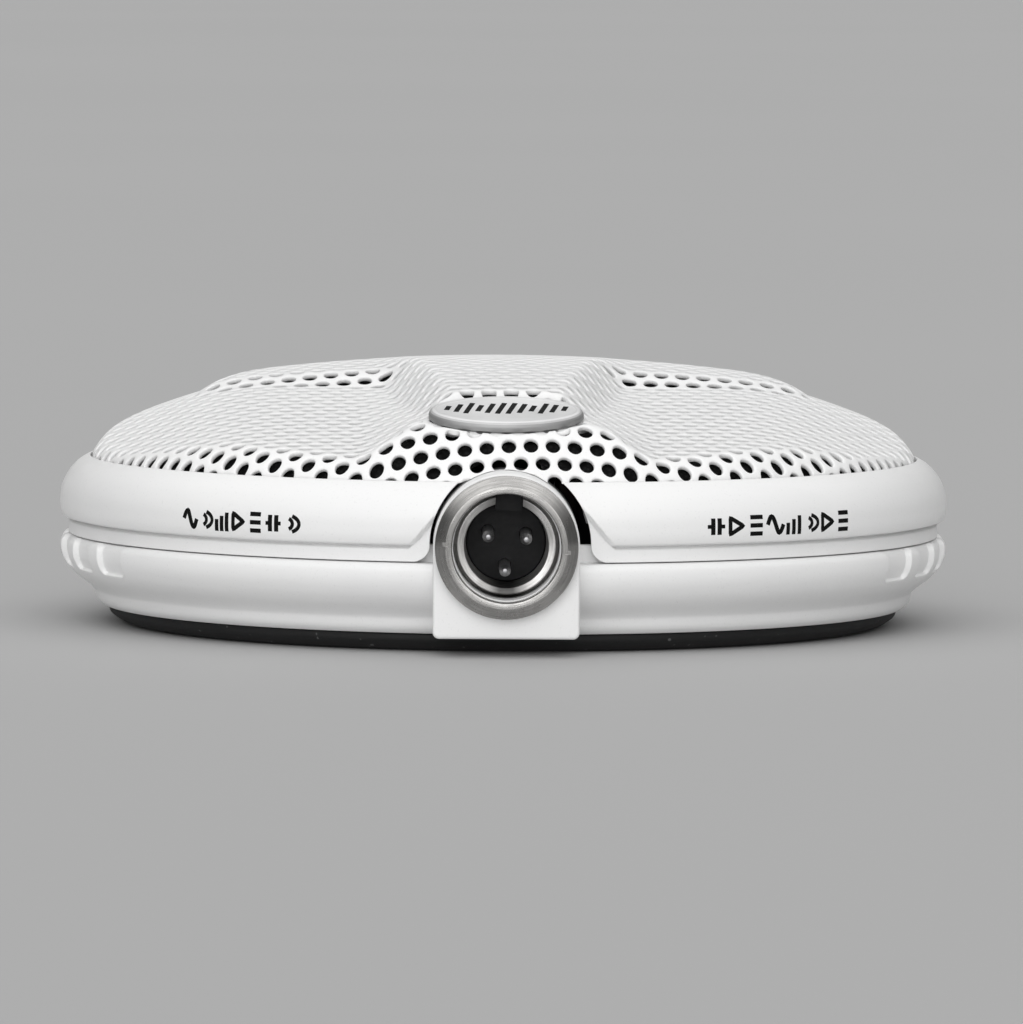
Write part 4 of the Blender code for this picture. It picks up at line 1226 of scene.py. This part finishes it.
def ink(name, strokes, wrap, thick):
    """Thin raised ink: each stroke is a closed strip laid on a surface by wrap(s, t, lift)."""
    verts, faces = [], []
    for points, width, closed in strokes:
        left, right = ribbon(points, width, closed)
        n, first = len(left), len(verts)
        for edge, lift in ((left, thick), (right, thick), (right, INK_SUNK), (left, INK_SUNK)):
            verts += [wrap(p[0], p[1], lift) for p in edge]
        for i in range(n if closed else n - 1):
            j = (i + 1) % n
            for a, b in ((0, 1), (1, 2), (2, 3), (3, 0)):
                faces.append((first + a * n + i, first + a * n + j,
                              first + b * n + j, first + b * n + i))
        if not closed:
            faces.append(tuple(first + a * n for a in range(4)))
            faces.append(tuple(first + a * n - 1 for a in (1, 4, 3, 2)))
    return solid(name, verts, faces, 40)


def mark(kind, x, wide):
    """Strokes (points, width, closed) of one small sign about (x, 0)."""
    line = MARK_LINE
    reach, rise = wide / 2 - line / 2, MARK_HALF - line / 2
    if kind == "waves":         # two arcs opening to the left
        angles = [math.radians(-62 + 124 * i / 14) for i in range(15)]
        return [([(x - reach + k * wide / 2.35 * math.cos(a),
                   rise * (0.35 + 0.36 * k) * math.sin(a)) for a in angles], line * 0.8, False)
                for k in (1, 2)]
    if kind == "plates":        # two uprights with a dash outside each
        near, far = line * 0.75, wide / 2
        return [([(x - near, -rise), (x - near, rise)], line, False),
                ([(x + near, -rise), (x + near, rise)], line, False),
                ([(x - far, 0), (x - near, 0)], line * 0.8, False),
                ([(x + near, 0), (x + far, 0)], line * 0.8, False)]
    if kind == "steps":         # three uprights that grow to the right
        return [([(x + reach * k, -rise - line / 2), (x + reach * k, rise * (0.15 + 0.42 * (k + 1)))],
                 line * 0.95, False) for k in (-1, 0, 1)]
    if kind == "ripple":        # one wave
        return [([(x - wide / 2 + wide * k / 16, rise * math.sin(2 * math.pi * k / 16))
                  for k in range(17)], line, False)]
    if kind == "wedge":         # triangle pointing right
        return [([(x - reach, -rise), (x + reach, 0), (x - reach, rise)], line * 0.9, True)]
    # bars: three level strokes
    return [([(x - reach, k * rise), (x + reach, k * rise)], line * 0.9, False)
            for k in (-1, 0, 1)]


def marks_mesh(side, kinds, low, high):
    """Row of marks on the shell's band."""
    span = math.radians(high - low) * SHELL_R
    pitch = span / len(kinds)
    strokes = []
    for i, kind in enumerate(kinds):
        strokes += mark(kind, -span / 2 + (i + 0.5) * pitch, pitch * 0.84)
    middle = math.radians(270 + (low + high) / 2)

    def on_band(s, t, lift):
        z = MARK_Z + t
        r = float(BAND(z)) + lift
        angle = middle + s / SHELL_R
        return (r * math.cos(angle), r * math.sin(angle), z)

    return ink(f"marks_{side}", strokes, on_band, thick=0.012)


def emblem_mesh():
    """Row of slanted strokes on the badge."""
    strokes = []
    for k, half in enumerate(EMBLEM_HALVES):
        x = (k - (len(EMBLEM_HALVES) - 1) / 2) * EMBLEM_PITCH
        lean = EMBLEM_LEAN * half
        strokes.append(([(x - lean, EMBLEM_MIDDLE - half), (x + lean, EMBLEM_MIDDLE + half)],
                        EMBLEM_LINE, False))

    def on_badge(s, t, lift):
        sunk = -0.05
        point = TO_BADGE @ (Vector((s, t, EMBLEM_FACE + (lift if lift > 0 else sunk))) * MM)
        return tuple(c / MM for c in point)

    return ink("emblem", strokes, on_badge, thick=0.02)


# ---------------------------------------------------------------- build
place("grille_perforated", grille_mesh(), "grille", "grille")
place("grille_liner_foam", liner_mesh(), "foam", "grille_liner")
place("upper_shell_fine", shell_mesh(), "housing", "upper_shell")
place("base_housing_fine", base_mesh(), "housing", "base_housing")
place("base_floor_plate", floor_plate_mesh(), "housing", "base_housing")
place("foot_pad_fine", foot_pad_mesh(), "rubber", "base_pad")
place("connector_nut_fine", nut_mesh(), "nickel", "connector_nut")
# the connector shell takes the brighter copy of the nickel, a painted reflection
place("connector_shell_fine", barrel_mesh(), "nickel", "connector_shell",
      material="nickel_inner_painted_bright")
place("connector_insert_fine", insert_mesh(), "black_plastic", "connector_insert")
for number, (x, y) in enumerate(PINS, 1):
    place(f"contact_pin_fine_{number}", pin_mesh(x, y), "steel", f"contact_pin_{number}")
place("badge_fine", badge_mesh(), "badge", "badge")
for row in MARK_ROWS:
    place(f"printed_marks_{row[0]}", marks_mesh(*row), "black_plastic", material="ink")
place("badge_emblem", emblem_mesh(), "black_plastic", material="ink")

# ---------------------------------------------------------------- camera
LENS, SENSOR = 349.970674, 36.0
CAMERA_DISTANCE = 900.0
CAMERA_ELEVATION = math.radians(4.48)
CAMERA_AZIMUTH = math.radians(0.45)     # towards -X from straight in front
CAMERA_ROLL = math.radians(0.371)
# where the origin appears in the view, as slopes off the lens axis
ORIGIN_RIGHT, ORIGIN_UP = -0.00091503268, -0.010970337


def add_camera():
    """Long lens, slightly above the table, turned so that the origin sits left of and below
    the view's middle."""
    data = bpy.data.cameras.new("camera")
    data.sensor_width = SENSOR
    data.sensor_fit = "HORIZONTAL"
    data.lens = LENS
    data.clip_start, data.clip_end = 0.05, 50.0
    obj = bpy.data.objects.new("camera", data)
    bpy.context.scene.collection.objects.link(obj)
    level = math.cos(CAMERA_ELEVATION)
    position = Vector((-level * math.sin(CAMERA_AZIMUTH), -level * math.cos(CAMERA_AZIMUTH),
                       math.sin(CAMERA_ELEVATION))) * CAMERA_DISTANCE * MM
    forward = (-position).normalized()
    right = forward.cross(Vector((0, 0, 1))).normalized()
    up = right.cross(forward).normalized()
    rolled_right = right * math.cos(CAMERA_ROLL) + up * math.sin(CAMERA_ROLL)
    rolled_up = up * math.cos(CAMERA_ROLL) - right * math.sin(CAMERA_ROLL)
    facing = Matrix((rolled_right, rolled_up, -forward)).transposed()
    wanted = Vector((ORIGIN_RIGHT, ORIGIN_UP, -1.0)).normalized()
    turn = wanted.rotation_difference(Vector((0, 0, -1))).to_matrix()
    obj.matrix_world = Matrix.Translation(position) @ (facing @ turn).to_4x4()
    bpy.context.scene.camera = obj


# ---------------------------------------------------------------- light and floor
KEY_ENERGY, KEY_ANGLE = 1.10, math.radians(70)
KEY_FROM = (-0.20, -1.0, 0.22)
WORLD_BASE, WORLD_TOP, WORLD_FRONT = 0.14, 0.98, 1.00   # strengths
FLOOR_TONE = 0.435
FLOOR_Z = -0.02
FLOOR_CORNERS = ((-30000, -5000), (30000, -5000), (30000, 60000), (-30000, 60000))     # x, y


def add_key_light():
    """Broad sun from the front."""
    data = bpy.data.lights.new("key_front", "SUN")
    data.energy = KEY_ENERGY
    data.angle = KEY_ANGLE
    obj = bpy.data.objects.new("key_front", data)
    bpy.context.scene.collection.objects.link(obj)
    obj.rotation_euler = (-Vector(KEY_FROM)).to_track_quat("-Z", "Y").to_euler()


def add_world():
    """Soft studio surround: bright ceiling and front, dim sides, as big soft boxes would give."""
    n = Nodes(bpy.data.worlds.new("studio"))
    background = n.tree.nodes["Background"]
    _, y, z = n.xyz(n.add("ShaderNodeTexCoord").outputs["Generated"])
    top = n.map_range(z, span=(0.35, 0.85), to=(0.0, WORLD_TOP), curve="SMOOTHSTEP")
    front = n.map_range(y, span=(-0.35, -0.92), to=(0.0, WORLD_FRONT), curve="SMOOTHSTEP")
    total = n.math("ADD", n.math("ADD", top, front), WORLD_BASE)
    n.feed(background.inputs["Strength"], total)
    n.feed(background.inputs["Color"], (1, 1, 1, 1))
    bpy.context.scene.world = n.owner


def floor_material():
    """Pale matt table, clear from below so that the underside of the object can be seen."""
    n = surface("pale_floor")
    place_ = n.coords()
    shader = n.principled(
        Base_Color=n.ramp(n.noise(place_, scale=3.0), span=(0.3, 0.7),
                          colors=((FLOOR_TONE * 0.985,) * 3, (FLOOR_TONE,) * 3)),
        Roughness=0.9,
        Normal=n.bump(n.noise(place_, scale=900.0), strength=0.03, distance=0.00005),
        Specular_IOR_Level=0.15)
    choice = n.add("ShaderNodeMixShader")
    n.feed(choice.inputs[0], n.add("ShaderNodeNewGeometry").outputs["Backfacing"])
    n.feed(choice.inputs[1], shader.outputs[0])
    n.feed(choice.inputs[2], n.add("ShaderNodeBsdfTransparent").outputs[0])
    n.feed(n.tree.nodes["Material Output"].inputs["Surface"], choice.outputs[0])
    return n.owner


def add_floor():
    """Plain table top, wide enough to fill the view."""
    mesh = mesh_from("floor", [(x, y, FLOOR_Z) for x, y in FLOOR_CORNERS], [(0, 1, 2, 3)])
    mesh.materials.append(floor_material())
    obj = bpy.data.objects.new("floor", mesh)
    bpy.context.scene.collection.objects.link(obj)
    obj.visible_shadow = False      # lets the surround fill the underside, like a table's bounce
    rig.stage(obj)


add_camera()
add_key_light()
add_world()
add_floor()
bpy.context.scene.view_settings.view_transform = "Standard"

# the bounds are written as text if they don't come as two rows of numbers
try:
    size = {"cad": [list(map(float, c)) for c in cad_box],
            "visual": [list(map(float, c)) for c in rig.bounds()]}
except TypeError:
    size = {"cad": str(cad_box), "visual": str(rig.bounds())}
with open("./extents.json", "w") as f:
    json.dump(size, f)
